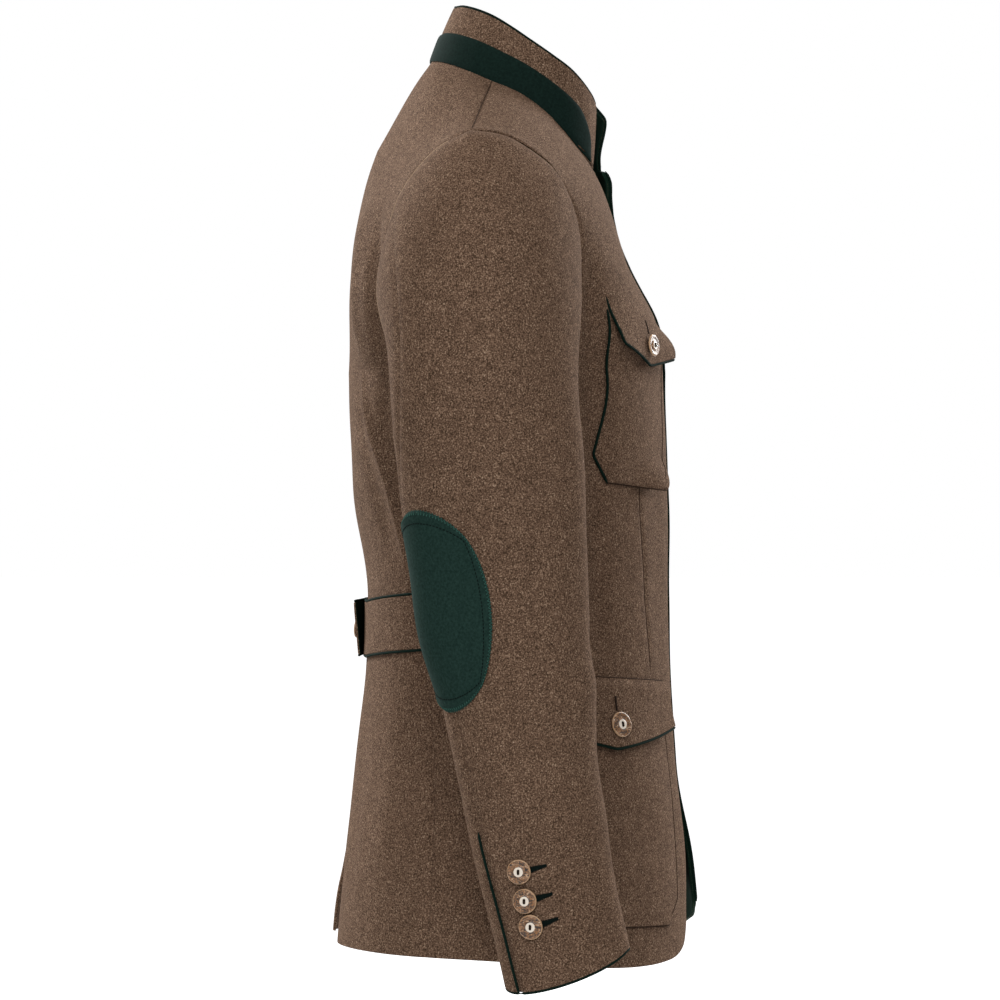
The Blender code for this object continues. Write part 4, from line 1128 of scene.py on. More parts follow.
def sleeve(share, angle):
    """Points of the sleeve: share 0 at the armhole, 1 at the cuff; angle 0 outside, 90 in front."""
    share, angle = arrays(share, angle)
    lower = sleeve_ring(np.clip((share - CAP_SHARE) / (1 - CAP_SHARE), 0, 1), angle)
    turn = np.radians(angle)
    start, end = armhole(angle), sleeve_ring(0 * share, angle)
    below = end - sleeve_ring(0 * share + 0.02, angle)
    reach = np.linalg.norm(end - start, axis=-1, keepdims=True)
    top, low = np.maximum(np.cos(turn), 0) ** 2, np.maximum(-np.cos(turn), 0) ** 2
    leave = unit(np.stack([0.95 - 0.35 * low, -0.14 * np.sin(turn), -0.15 - 0.22 * top - 0.6 * low], -1))
    start = start + 2 * GAP * leave
    along = np.clip(share / CAP_SHARE, 0, 1)
    cap = bezier([start, start + 0.36 * reach * leave, end + 0.40 * reach * unit(below), end], along)
    # the front of the cap lies further back than that, and its rear further forward
    back = 0.0021 * np.maximum(np.sin(turn), 0) ** 2 - 0.0045 * np.maximum(-np.sin(turn), 0) ** 2
    back = back + 0.0065 * np.maximum(np.sin(2 * turn), 0) * (np.cos(turn) > 0)
    cap[..., 1] += np.sin(math.pi * along) * back
    return np.where((share >= CAP_SHARE)[..., None], lower, cap)


def on_sleeve(share, angle, out=0.0):
    """Points of the sleeve, moved out of the cloth."""
    share, angle, out = arrays(share, angle, out)
    down = sleeve(share + 0.004, angle) - sleeve(share - 0.004, angle)
    around = sleeve(share, angle + 1.5) - sleeve(share, angle - 1.5)
    n = unit(np.cross(around, down))
    centre = sleeve_section(np.clip(share - CAP_SHARE, 0, 1) / (1 - CAP_SHARE))[0]
    p = sleeve(share, angle)
    n = np.where((np.sum(n * (p - centre), -1) > 0)[..., None], n, -n)
    return p + out[..., None] * n


def hind(share):
    """The angle of the hind seam."""
    return smooth(np.asarray(share, float), HIND_SEAM["share"], HIND_SEAM["angle"])


# %% Sleeve folds and pieces
SLEEVE_FOLDS = (
    # behind the upper arm
    (((0.262, 0.066, -0.25), (0.268, 0.064, -0.32), (0.264, 0.060, -0.39)), 0.013, -0.0014),
    # in front of the elbow
    (((0.236, -0.060, -0.44), (0.262, -0.064, -0.455), (0.285, -0.046, -0.462)), 0.011, -0.0016),
    (((0.240, -0.064, -0.475), (0.268, -0.066, -0.487), (0.286, -0.050, -0.490)), 0.012, 0.0013),
    # the pressed fore edge above the cuff
    (((0.286, -0.055, -0.600), (0.291, -0.060, -0.650), (0.296, -0.066, -0.700)), 0.0055, 0.0011),
    (((0.281, -0.036, -0.590), (0.287, -0.042, -0.640), (0.293, -0.047, -0.690)), 0.010, -0.0010),
    # across the upper arm
    (((0.292, -0.020, -0.205), (0.300, 0.005, -0.215), (0.296, 0.030, -0.210)), 0.022, 0.0012),
)
FORE_ANGLE = 110.88  # of the fore seam, in degrees
INSIDE_ARMHOLE = np.array((0.120, 0.018, -0.200))
ALLOWANCE = 0.005  # how far the sleeve's upper edge turns in


def fore_seam(share):
    """The angle of the fore seam, which stays the same all the way down."""
    return FORE_ANGLE + 0 * share


def sleeve_piece(side, name, start, end, count, node):
    """A wall between two seams, whose angles follow the share of the sleeve's length."""
    first = np.array((0, 0.003, 0.007, 0.012, 0.018))
    cap, arm = np.linspace(0.025, CAP_SHARE, 44), np.linspace(CAP_SHARE, 1, 112)[1:]
    shares = np.concatenate([first, cap, arm])[:, None]
    a, b = start(shares), end(shares)
    _, width, _ = sleeve_section(np.clip(shares - CAP_SHARE, 0, 1) / (1 - CAP_SHARE))
    turn = np.degrees(SEAM / width)
    angles = (a + turn) + (b - a - 2 * turn) * np.linspace(0, 1, count + 1)
    outer, inner = on_sleeve(shares, angles), on_sleeve(shares, angles, -CLOTH)
    n = (outer - inner) / CLOTH
    outside = np.maximum(np.cos(np.radians(angles)), 0) ** 0.5
    roll = 0.0011 * np.exp(-(((shares - 0.020) / 0.013) ** 2)) * outside
    roll = roll - 0.0012 * np.exp(-((shares / 0.006) ** 2))
    edge = np.minimum(angles - a, b - angles) * math.pi / 180 * width
    push = fold_push(outer, SLEEVE_FOLDS, side) + roll - 0.0011 * np.exp(-((edge / 0.0030) ** 2))
    outer = outer + push[..., None] * n
    # its edge turns into the body, as a seam allowance does, which closes the seam
    turned_in = outer[:1] + ALLOWANCE * unit(INSIDE_ARMHOLE - outer[:1])
    outer, n = np.concatenate([turned_in, outer]), np.concatenate([n[:1], n])
    cloth(name, outer, CLOTH, BROWN_LODEN, node, side, n)


for side, word in SIDES:
    sleeve_piece(side, f"{word}_upper_sleeve", lambda s: hind(s) - 360, fore_seam, 52, f"sleeve_{word}_upper")
    sleeve_piece(side, f"{word}_under_sleeve", fore_seam, hind, 46, f"sleeve_{word}_under")
print("sleeves made")


# %% [markdown]
# ## Stand collar, its felt band and lining
# The collar is a strip that stands on the neck seam. A band of green felt is sewn along its foot, a green
# cord runs along its top, and its lining is green too, which shows inside the left end.


# %% Collar surface
def collar_seam(left):
    """The neck seam from the centre back to the front end, at even small steps, with the fronts' shift."""
    front = NECKS[0](np.linspace(1, 0, 90))[1:]
    front = front[front[:, 0] >= COLLAR_END]
    front[:, 1] -= front_shift(front[:, 0] + OVERLAP, front[:, 2], left)
    seam = np.vstack([NECKS[1](np.linspace(0, 1, 60)), front])
    steps = np.linalg.norm(np.diff(seam, axis=0), axis=1)
    return np.concatenate([[0], np.cumsum(steps)]) / steps.sum(), seam


COLLAR_SEAMS = {left: collar_seam(left) for left in (True, False)}
COLLAR_EDGE = path(points_of(COLLAR_TOP))


def collar_points(s, up):
    """Points of the collar's outer face: s -1 at the right front end, 0 behind, 1 at the left end."""
    s, up = arrays(s, up)
    base = np.zeros(s.shape + (3,))
    for left in (True, False):
        stations, seam = COLLAR_SEAMS[left]
        here = np.stack([np.interp(abs(s), stations, seam[:, k]) for k in range(3)], -1)
        base = np.where(((s > 0) == left)[..., None], here, base)
    top = COLLAR_EDGE(abs(s))
    p = base + up[..., None] * (top - base)
    outward = unit(np.stack([top[..., 0] + base[..., 0], top[..., 1] + base[..., 1] + 0.022, 0 * s], -1))
    p = p + (4 * COLLAR_SWELL * up * (1 - up))[..., None] * outward
    flare = up * ease((abs(s) - 0.80) / 0.20) * (s > 0)
    p = p - np.stack([0 * s, COLLAR_FLARE * flare, COLLAR_FALL * flare], -1)
    waist = np.sin(math.pi * np.clip(up, 0, 1)) * (1 - up)
    p[..., 1] += END_WAIST * waist * ease((s - 0.90) / 0.10)
    p[..., 0] *= np.where(s > 0, 1, -1)
    return p


def band_height(s):
    """How much of the collar's height the felt band covers, rounded off towards its ends."""
    near_end = np.clip((abs(s) - 0.76) / (BAND_END - 0.76), 0, 1)
    return 0.06 + (BAND_SHARE - 0.06 + 0.10 * abs(s)) * np.sqrt(np.maximum(1 - near_end**2.2, 0.0))


# %% Collar pieces
INSIDE_NECK = np.array((0, -0.01, 0))
ss = np.linspace(-1, 1, 181)
rows = np.linspace(-0.03, 1, 23)[:, None]
grid = collar_points(ss, rows)
n = grid_normals(grid, INSIDE_NECK)
piece = cloth("collar_cloth", grid, CLOTH, BROWN_LODEN, "collar", 1, n)
piece.data.materials.append(GREEN_LINING)
for face in piece.data.polygons:
    if face.center[0] > 0 and face.center[1] < -0.050 and face.normal[0] < -0.35:
        face.material_index = 1
lining = grid[:, 1:] - (CLOTH + GAP) * n[:, 1:]
cloth("collar_inner", lining, LINING, GREEN_LINING, "collar_lining", 1, n[:, 1:])

ends = np.linspace(-BAND_END, BAND_END, 171)
rows = np.linspace(0, 1, 14)[:, None]
band = collar_points(ends, -0.012 + (band_height(ends) + 0.012) * rows)
n = grid_normals(band, INSIDE_NECK)
thick = FELT * np.sqrt(np.clip(1 - (2 * rows - 1) ** 8, 0.15, 1)) + 0 * ends
face = band + (0.0004 + thick)[..., None] * n
cloth("collar_felt_band", face, thick, DARK_FELT, "collar_band", 1, n)

top = collar_points(ss, np.array([0.97, 1.0])[:, None])
n = grid_normals(top, INSIDE_NECK)
up = unit(top[1] - top[0])
route = top[1] - 0.5 * CLOTH * n[1] + (0.9 * PIPING + GAP) * up
# round the left end the cord goes on down to the neck
down = np.linspace(0.955, 0.03, 26)
end, before = collar_points(1.0, down), collar_points(0.985, down)
lie = -0.5 * CLOTH * np.array((n[1, -1, 0], n[1, -1, 1], 0))
route = np.concatenate([route[:-2], end + lie + (0.9 * PIPING + GAP) * unit(end - before)])
cord("collar_cord", route, "collar_piping", radius=0.9 * PIPING)
print("collar made")


# %% [markdown]
# ## Facing and front cord
# Inside the left front runs a strip of green cloth, and a green cord finishes the front's edge.


# %% Facing
grid, _ = half_panel(0, True, FRONT_COLUMNS, LOW_ROWS, FRONT_ROWS)
n = grid_normals(grid, INSIDE_BODY)
grid = edge_gap(grid, last=SEAM) + fold_push(grid, BODY_FOLDS, 1)[..., None] * n
grid, n = grid[: NECK_ROW + 1], n[: NECK_ROW + 1]
away = unit(grid[:, 0] - grid[:, 1])
strip, strip_n = grid[:, :FACING_COLUMNS], n[:, :FACING_COLUMNS]
strip = strip - (CLOTH + GAP) * strip_n
cloth("left_facing", strip, LINING, GREEN_LINING, "facing_left", 1, strip_n)
route = grid[:, 0] + (PIPING + GAP) * away + 0.30 * PIPING * n[:, 0]
cord("left_front_cord", route, "front_left_piping")


# %% [markdown]
# ## What is laid on the fronts and back
# Pockets, flaps and the half belt are placed on the panels by tape measure. They ride on the same folds as
# the cloth under them, so nothing sinks in or floats.


# %% Places on the folded panels
NEAR = 0.0015  # a slope is measured this far to either side


def on_front(arc, height, left, out=0.0):
    """Points of a front by arc from its edge and height, on top of its folds, moved out of the cloth."""
    def place(a, h):
        p = look_up(FRONT_CHART, a, h)
        p[..., 1] -= front_shift(a, p[..., 2], left)
        return p

    arc, height, out = arrays(arc, height, out)
    across = place(arc + NEAR, height) - place(arc - NEAR, height)
    up = place(arc, height + NEAR) - place(arc, height - NEAR)
    p = place(arc, height)
    push = fold_push(p, BODY_FOLDS, 1 if left else -1)
    return p + (push + out)[..., None] * unit(np.cross(across, up))


def on_back(arc, height, out=0.0):
    """Points of the back by arc from its centre, which is below 0 on the wearer's right, and height."""
    def place(a, h):
        p = look_up(BACK_CHART, abs(a), h)
        p[..., 0] *= np.where(a < 0, -1, 1)
        return p

    arc, height, out = arrays(arc, height, out)
    across = place(arc + NEAR, height) - place(arc - NEAR, height)
    up = place(arc, height + NEAR) - place(arc, height - NEAR)
    p = place(arc, height)
    mirror = np.where(p[..., :1] < 0, -1, 1) * (1, 0, 0) + (0, 1, 1)
    push = np.where(p[..., 0] < 0, fold_push(p * mirror, BODY_FOLDS, -1), fold_push(p, BODY_FOLDS, 1))
    return p + (push + out)[..., None] * unit(np.cross(up, across))


def brow(distance, radius=0.0011):
    """The share of its thickness that a cloth keeps this far from its folded edge."""
    x = np.clip(1 - distance / radius, 0, 1)
    return 0.25 + 0.75 * np.sqrt(1 - x * x)


def spread(low, high, count):
    """Even steps, with closer ones at both ends for the rounded edges."""
    close = np.array((0, 0.0003, 0.0008, 0.0016))
    middle = np.linspace(low + 0.004, high - 0.004, count)
    return np.concatenate([low + close, middle, high - close[::-1]])


# %% Pieces laid on a panel
def laid(name, place, out, thickness, rim, material, node, side):
    """A piece laid on a surface: place gives its points at a height over it, rim their way to the edge."""
    inner, full = place(out), place(out + thickness)
    n = unit(full - inner)
    thick = thickness * brow(rim)
    return cloth(name, inner + thick[..., None] * n, thick, material, node, side, n)


# %% Pockets
def in_pocket(pocket, left, p, q, out):
    """Points over a front, from the pocket's own measures: p to the rear and q up from the flap's middle."""
    lean = math.radians(pocket["lean"])
    arc = pocket["arc"] + p * math.cos(lean) - q * math.sin(lean)
    fan = pocket["fan"] * (0.6 + q / pocket["height"])
    height = pocket["z"] + p * (math.sin(lean) + fan) + q * math.cos(lean)
    return on_front(arc, height, left, out)


def flap_drop(pocket, p):
    """How far the flap reaches down at p: to a blunt point in the middle."""
    half = pocket["width"] / 2 + FLAP_OVERHANG
    away = (p - pocket["tip_at"]) / (half - np.sign(p - pocket["tip_at"]) * pocket["tip_at"])
    beside = np.sqrt(away**2 + 0.0002) - 0.014
    side = pocket["flap_side"] + pocket["tip_at"] * 0.3 * p / half
    return side + (pocket["flap_tip"] - side) * (1 - beside / 0.986)


def flap_out(pocket, p, q):
    """How far the flap's underside stands off the front: over the pocket's mouth, then flared. A chest flap
    starts level with the front, and its lower corners and its point stand off by different amounts."""
    if "flap_out" not in pocket:
        over = (PATCH + 2 * GAP + 0.0004) * ease(-q / 0.0070)
        flare = pocket["flap_flare"] * (1 + 0.7 * np.clip(-2 * p / pocket["width"], 0, 1) ** 3)
        return LAID + over + flare * np.maximum(-q / pocket["flap_tip"], 0) ** 1.6
    out, down = pocket["flap_out"], np.maximum(-q / flap_drop(pocket, p), 0)
    middle = out["middle"] * np.minimum(down, 1.05) ** 1.1
    end = np.where(p > 0, out["rear"] * down**2.2, out["front"] * ease((down - 0.1) / 0.8))
    return middle + (end - middle) * np.minimum(abs(2 * p / pocket["width"]), 1) ** 1.5 - PATCH + 0.0005


def bow(pocket, p, q):
    """How far a pocket's rear edge bows to the rear, at even steps from its mouth to its foot."""
    steps = np.linspace(pocket["mouth"], pocket["height"], len(pocket["bow"]))
    return smooth(-q, steps, np.array(pocket["bow"])) * ease(2 * p / pocket["width"])


def hang(pocket, p, q):
    """How far a pocket's lower front corner hangs off the front."""
    near_foot = ease((-q / pocket["height"] - 0.80) / 0.20)
    return pocket["foot_out"] * near_foot * ease(-2.0 * p / pocket["width"] + 0.2)


def dark_line(name, route, side, material=SEAM_SHADE_AND_STITCH, radius=0.00045):
    """Painted shade along a sewn edge, as a thin dark thread. Given a pale material, it paints a highlight
    instead.
    """
    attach(tube(name, resample(route, 0.004), radius, material, side, 6), "root")


def pocket_bag(pocket, word, side):
    """A pocket with its cord, the line where it is sewn down, and its stitches."""
    left, half = side > 0, pocket["width"] / 2
    ps = spread(-half, half, 44)
    foot = pocket["height"] - np.maximum(abs(ps) - (half - pocket["cut"]), 0)
    rs = np.concatenate([[0, 0.003, 0.008], np.linspace(0.02, 0.98, 48), [0.992, 0.997, 1]])[:, None]
    p, q = ps + 0 * rs, -pocket["mouth"] - (foot - pocket["mouth"]) * rs
    swell = pocket["bulge"] * (1 - (p / half) ** 2) * 4 * rs * (1 - rs) + hang(pocket, p, q)
    if "flap_out" in pocket:  # under its flap a chest pocket lies flat
        swell = swell - 0.0021 * (1 - ease((-q - 0.018) / 0.026))
    p = p + bow(pocket, p, q)
    rim = np.minimum(half - abs(p), q + foot)
    rim = np.minimum(rim, np.where(q > -0.05, -pocket["mouth"] - q, 1))
    laid(
        f"{word}_pocket_bag", lambda out: in_pocket(pocket, left, p, q, out), LAID + swell, PATCH, rim,
        BROWN_LODEN, f"{word}_pocket", side,
    )
    side_foot, cut = foot[0], pocket["cut"]
    route = [(half + PIPING, q) for q in np.linspace(-pocket["mouth"] - 0.002, -side_foot, 24)]
    reach = 0.8 * PIPING
    route += [(half - t * cut + reach, -side_foot - t * cut - reach) for t in (0.25, 0.5, 0.75, 1)]
    ps, qs = np.array(route).T
    ps = ps + bow(pocket, ps, qs)
    cord(f"{word}_pocket_cord", in_pocket(pocket, left, ps, qs, LAID + PIPING), f"{word}_pocket_piping", side)
    # where the foot and the front edge are sewn down, their shade is painted as a dark line
    ps = np.linspace(half - cut, cut - half, 30)
    low, turned_in = pocket["height"] + 0.0006, half + 0.0006
    route = [(p, -low) for p in ps]
    route += [(-turned_in + cut * t, -low + cut * (1 - t)) for t in (0.75, 0.5, 0.25)]
    route += [(-turned_in, q) for q in np.linspace(-side_foot, -0.6 * pocket["flap_side"], 30)]
    ps, qs = np.array(route).T
    route = in_pocket(pocket, left, ps, qs, LAID + hang(pocket, ps, qs) + 0.0002)
    dark_line(f"{word}_pocket_seam_shade", route, side)
    # its stitches run down the pocket's face near the front edge
    inset = half - pocket["stitched"]
    route = [(-inset, q) for q in np.linspace(-pocket["flap_side"] - 0.004, -side_foot, 30)]
    route += [(-inset + cut * t, -side_foot - (cut - pocket["stitched"]) * t) for t in (0.25, 0.5, 0.75)]
    ps, qs = np.array(route).T
    rs = np.clip((-pocket["mouth"] - qs) / (pocket["height"] - pocket["mouth"]), 0, 1)
    swell = pocket["bulge"] * (1 - (ps / half) ** 2) * 4 * rs * (1 - rs) + hang(pocket, ps, qs)
    route = in_pocket(pocket, left, ps, qs, LAID + swell + PATCH + 0.0001)
    dark_line(f"{word}_pocket_stitches", route, side, radius=0.0003)


# %% Flaps
def pocket_flap(pocket, word, side):
    """A flap with the cord round its rear and lower edges."""
    left, wide = side > 0, pocket["width"] / 2 + FLAP_OVERHANG
    ps = spread(-wide, wide, 44)
    rs = np.concatenate([[0, 0.006, 0.02], np.linspace(0.05, 0.95, 24), [0.975, 0.99, 1]])[:, None]
    drop = flap_drop(pocket, ps)
    taper = 1 - pocket["flap_taper"] * rs
    p, q = ps * taper, -drop * rs
    rim = np.minimum(wide * taper - abs(p), q + drop)
    laid(
        f"{word}_pocket_flap", lambda out: in_pocket(pocket, left, p, q, out), flap_out(pocket, p, q),
        PATCH, rim, BROWN_LODEN, f"{word}_flap", side,
    )
    if "flap_out" not in pocket:
        # painted shade: a dark line along the flap's top seam, where the flap folds down
        ps = np.linspace(-wide + 0.002, wide - 0.002, 40)
        dark_line(f"{word}_flap_seam_shade", in_pocket(pocket, left, ps, 0 * ps + 0.0005, 0.0002), side)
    reach = 0.75 * PIPING
    rs = np.linspace(0.02, 0.97, 14)
    down = [(wide * (1 - pocket["flap_taper"] * r) + reach, -drop[-1] * r) for r in rs]
    across = np.linspace(wide, -wide, 40)
    along = list(zip(across * (1 - pocket["flap_taper"]), -flap_drop(pocket, across) - reach))
    ps, qs = np.array(down + along).T
    route = in_pocket(pocket, left, ps, qs, flap_out(pocket, ps, qs) + 0.4 * PATCH)
    cord(f"{word}_flap_cord", route, f"{word}_flap_piping", side)


def seat_on_flap(pocket, left, p, q, lift=0.0):
    """Points on a flap's face, with its normal."""
    def place(p, q):
        return in_pocket(pocket, left, p, q, flap_out(pocket, p, q) + PATCH + lift)

    across, up = place(p + 0.003, q) - place(p - 0.003, q), place(p, q + 0.003) - place(p, q - 0.003)
    n = unit(np.cross(across, up))
    return place(p, q), n * np.where(n[..., 1:2] < 0, 1, -1)


# %% [markdown]
# ## Horn buttons and worked buttonholes
# A stag horn button is turned on a lathe, so one profile swept round its axis gives the whole form. A Screw
# modifier does the same. Here the rings are worked out one by one, so that each face can be told where it
# lies and be given the dark horn, the cut horn or a painted highlight on the rim. A buttonhole is worked
# with a row of short stitches.


# %% Buttons
# The profile has a rounded back, a wide rim, a shallow dish, and a raised middle cut flat. It is given in
# shares of the radius outward and of the height.
BUTTON = columns(
    "out up",
    (0.00, 0.00),
    (0.62, 0.00),
    (0.86, 0.14),
    (0.975, 0.36),
    (1.00, 0.52),
    (0.985, 0.68),
    (0.93, 0.80),
    (0.85, 0.84),
    (0.72, 0.76),
    (0.56, 0.70),
    (0.48, 0.74),
    (0.43, 0.88),
    (0.39, 0.97),
    (0.33, 1.00),
    (0.00, 1.00),
)
BUTTON_HEIGHT, BUTTON_SIDES = 0.0034, 40
BUTTON_TIP = 0.20  # how far a pocket's button tips outward


print("button profile", len(BUTTON["out"]), "points")


def turned(name, centre, normal, radius, node, side):
    """A lathe-turned button facing along its normal, with the stitch that holds it, and a painted highlight on
    its rim.
    """
    normal, centre = unit(np.array(normal) * (side, 1, 1)), np.array(centre) * (side, 1, 1)
    across = unit(np.cross(normal, (0.1, 0.2, 1.0)))
    other = np.cross(normal, across)
    turn = 2 * math.pi * np.arange(BUTTON_SIDES) / BUTTON_SIDES
    ring = np.cos(turn)[:, None] * across + np.sin(turn)[:, None] * other
    out, up = np.maximum(BUTTON["out"], 0.004), BUTTON["up"] * BUTTON_HEIGHT
    points = centre + radius * out[:, None, None] * ring + up[:, None, None] * normal
    k = np.arange(BUTTON_SIDES)
    m, last = (k + 1) % BUTTON_SIDES, (len(out) - 1) * BUTTON_SIDES
    faces = []
    for low in range(0, last, BUTTON_SIDES):
        high = low + BUTTON_SIDES
        faces.append(np.stack([low + k, low + m, high + m, high + k], -1))
    j = np.arange(1, BUTTON_SIDES // 2)
    for low in (0, last):
        end = BUTTON_SIDES - j
        faces.append(np.stack([low + j - 1, low + j, low + end - 1, low + end % BUTTON_SIDES], -1))
    button = mesh_piece(name, points.reshape(-1, 3), np.concatenate(faces), STAG_HORN)
    button.data.materials.append(PALE_HORN)
    button.data.materials.append(RIM_HIGHLIGHT)
    # material 1 is the pale cut middle, material 2 a painted highlight on the rim's top
    for face in button.data.polygons:
        away = np.array(face.center) - centre
        out = np.linalg.norm(away - (away @ normal) * normal) / radius
        if away @ normal > 0.6 * BUTTON_HEIGHT and out < 0.37:
            face.material_index = 1
        elif away @ normal > 0.5 * BUTTON_HEIGHT and out > 0.915:
            face.material_index = 2
    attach(button, "root")
    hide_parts(node)
    up = unit(np.array((0, 0, 1.0)) - normal[2] * normal)
    top = centre + (BUTTON_HEIGHT + 0.0001) * normal
    route = [top + s * 0.22 * radius * up for s in np.linspace(-1, 1, 7)]
    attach(tube(f"{name}_thread", route, 0.00105, BROWN_THREAD), "root")


# %% Buttonholes
def stitched_slit(name, place, size, pitch, radius, material, side):
    """A hand-worked buttonhole: stitches side by side across a slit, whose size is its length and its widths
    at the start and the end. place turns a point's position along and across it into a place in space."""
    length, wide, narrow = size
    count = max(round(length / pitch), 3)
    routes = []
    for s in (np.arange(count) + 0.5) / count:
        half = 0.5 * (wide + (narrow - wide) * s)
        routes.append([place(s * length, x * half) for x in np.linspace(-1, 1, 5)])
    stitches(name, routes, radius, material, side)


BROWN_SLIT = dict(size=(0.0115, 0.0022, 0.0022), pitch=0.0009, radius=0.00045, material=BROWN_THREAD)
GREEN_SLIT = dict(size=(0.0125, 0.0046, 0.0022), pitch=0.0007, radius=0.00042, material=DARK_THREAD)


def pocket_button(pocket, word, side):
    """A flap's button, with the buttonhole above it."""
    left = side > 0
    q = -pocket["flap_tip"] + pocket["button_up"]
    middle = pocket["button_at"]
    centre, n = seat_on_flap(pocket, left, np.array(middle), np.array(q), 0.0003)
    # on its thread the button tips a little outward
    n = unit(n + (BUTTON_TIP, 0, 0))
    centre = centre + 0.6 * BUTTON_TIP * pocket["button"] * n
    turned(f"{word}_horn_button", centre, n, pocket["button"], f"{word}_button", side)
    first = q + pocket["button"] + 0.0015

    def place(along, across):
        return seat_on_flap(pocket, left, np.array(middle + across), np.array(first + along), 0.0002)[0]

    stitched_slit(f"{word}_buttonhole", place, side=side, **BROWN_SLIT)


LEFT_FLAP_OUT = dict(CHEST_POCKET["flap_out"], front=LEFT_FLAP_FRONT)
for side, word in SIDES:
    chest = CHEST_POCKET if side < 0 else dict(CHEST_POCKET, flap_out=LEFT_FLAP_OUT)
    for kind, pocket in (("chest", chest), ("lower", LOWER_POCKET)):
        pocket_bag(pocket, f"{kind}_{word}", side)
        pocket_flap(pocket, f"{kind}_{word}", side)
        pocket_button(pocket, f"{kind}_{word}", side)
print("pockets made")


# %% Dart, shoulder seam and the edge of the armhole seam, as lines of painted shade and highlight
DART = BODY_FOLDS[7][0]


def seam_lines(side, word):
    """Seams that show as a fine line: painted shade along the dart and the shoulder seam, and a painted
    highlight along the armhole's edge.
    """
    left = side > 0
    # painted shade along the dart
    heights = np.linspace(-0.3260, -0.4770, 40)
    xs = np.interp(-heights, [-p[2] for p in DART], [p[0] for p in DART])
    rows = np.round((heights - HEIGHTS[0]) / STEP).astype(int)
    arcs = np.array([np.interp(x, FRONT_CHART[row, :, 0], ARCS) for x, row in zip(xs, rows)])
    arcs = smooth(-heights, -heights[::6], arcs[::6])
    dark_line(f"{word}_dart_shade_line", on_front(arcs, heights, left, 0.0001), side, radius=0.0004)

    # painted shade along the shoulder seam
    along = np.linspace(0.03, 0.97, 60)
    line = upper(1.0, along, 0)
    line = line + (fold_push(line, BODY_FOLDS, side) - 0.0011)[:, None] * unit(np.array((0.33, 0, 0.94)))
    dark_line(f"{word}_shoulder_seam_shade", line, side, radius=0.0003)

    # a painted highlight along the armhole seam's raised edge
    angles = np.linspace(247, 349, 70)
    share = 0.006 + 0 * angles
    p, above = on_sleeve(share, angles), on_sleeve(share, angles, 0.01)
    line = p + (fold_push(p, SLEEVE_FOLDS, side) + 0.0001)[:, None] * unit(above - p)
    dark_line(f"{word}_armhole_edge_highlight", line, side, SEAM_HIGHLIGHT, 0.0007)


for side, word in SIDES:
    seam_lines(side, word)
print("seam lines made")


# %% [markdown]
# ## Half belt
# Two straps come from the back seams and lap over each other at the middle, where a button holds them. The
# upper strap has a pointed end, which stands off a little.


# %% Belt straps
def back_arc(z):
    """Arc from the centre back to the back seam at these heights."""
    t = seam_share(z, 1)[..., None] * np.linspace(0, 1, 40)
    row = level(z[..., None], t, 1)
    return np.linalg.norm(np.diff(row, axis=-2), axis=-1).sum(-1)


def belt_left_arc(x, r, z):
    """Arc on the left strap, by share of its length and height: its end is pointed."""
    end = -BELT_END - BELT_POINT * (1 - abs(2 * r - 1))
    return end + (back_arc(z) - end) * x


def belt_right_arc(x, r, z):
    """The same on the right strap, whose end is square and lies under the left one."""
    return -BELT_UNDER + (back_arc(z) + BELT_UNDER) * x


def belt_left_out(arc, r):
    """How far the left strap's underside stands off the back: over the right strap, and more at its end."""
    over = (PATCH + 2 * GAP) * ease((0.050 - arc) / 0.024)
    return LAID + over + 0.0075 * ease((0.010 - arc) / 0.062) * (1 - 0.65 * r)


def belt_right_out(arc, r):
    """The right strap lies flat on the back."""
    return LAID + 0 * arc


def climb(arc):
    """How much higher a strap lies towards the side."""
    return BELT_RISE * np.maximum(abs(arc) - BELT_LEVEL, 0)


def strap(word, side, arc_of, out_of):
    """One strap, with a cord along its top and its bottom."""
    def place(arc, z, out):
        return on_back(side * arc, z, out) * (side, 1, 1)

    xs = np.concatenate([[0, 0.002, 0.006], np.linspace(0.02, 1, 60)])
    rs = spread(0, BELT_HEIGHT, 10)[:, None] / BELT_HEIGHT
    z = BELT_TOP - BELT_HEIGHT * rs + 0 * xs
    arc = arc_of(xs + 0 * rs, rs + 0 * xs, z)
    z = z + climb(arc)
    rim = np.minimum(np.minimum(rs, 1 - rs) * BELT_HEIGHT, arc - arc[:, :1])
    belt = laid(
        f"belt_{word}_strap", lambda out: place(arc, z, out), out_of(arc, rs), PATCH, rim,
        BROWN_LODEN, f"belt_{word}", side,
    )
    belt.data.materials.append(GREEN_LINING)
    for face in belt.data.polygons[(len(rs) - 1) * (len(xs) - 1) :]:
        face.material_index = 1
    for edge, r, away in (("top", 0, 0.7 * PIPING), ("bottom", 1, -0.7 * PIPING)):
        zs = BELT_TOP - BELT_HEIGHT * r + 0 * xs[2:]
        arcs = arc_of(xs[2:], r + 0 * xs[2:], zs)
        route = place(arcs, zs + climb(arcs) + away, out_of(arcs, r) + PATCH / 2)
        cord(f"belt_{word}_{edge}_cord", route, f"belt_{word}_piping_{edge}", side)


strap("right", -1, belt_right_arc, belt_right_out)
strap("left", 1, belt_left_arc, belt_left_out)


def belt_seat(arc, z, lift):
    """Points on the left strap's face."""
    r = (BELT_TOP - z) / BELT_HEIGHT
    return on_back(np.array(arc), np.array(z), belt_left_out(np.array(arc), r) + PATCH + lift)


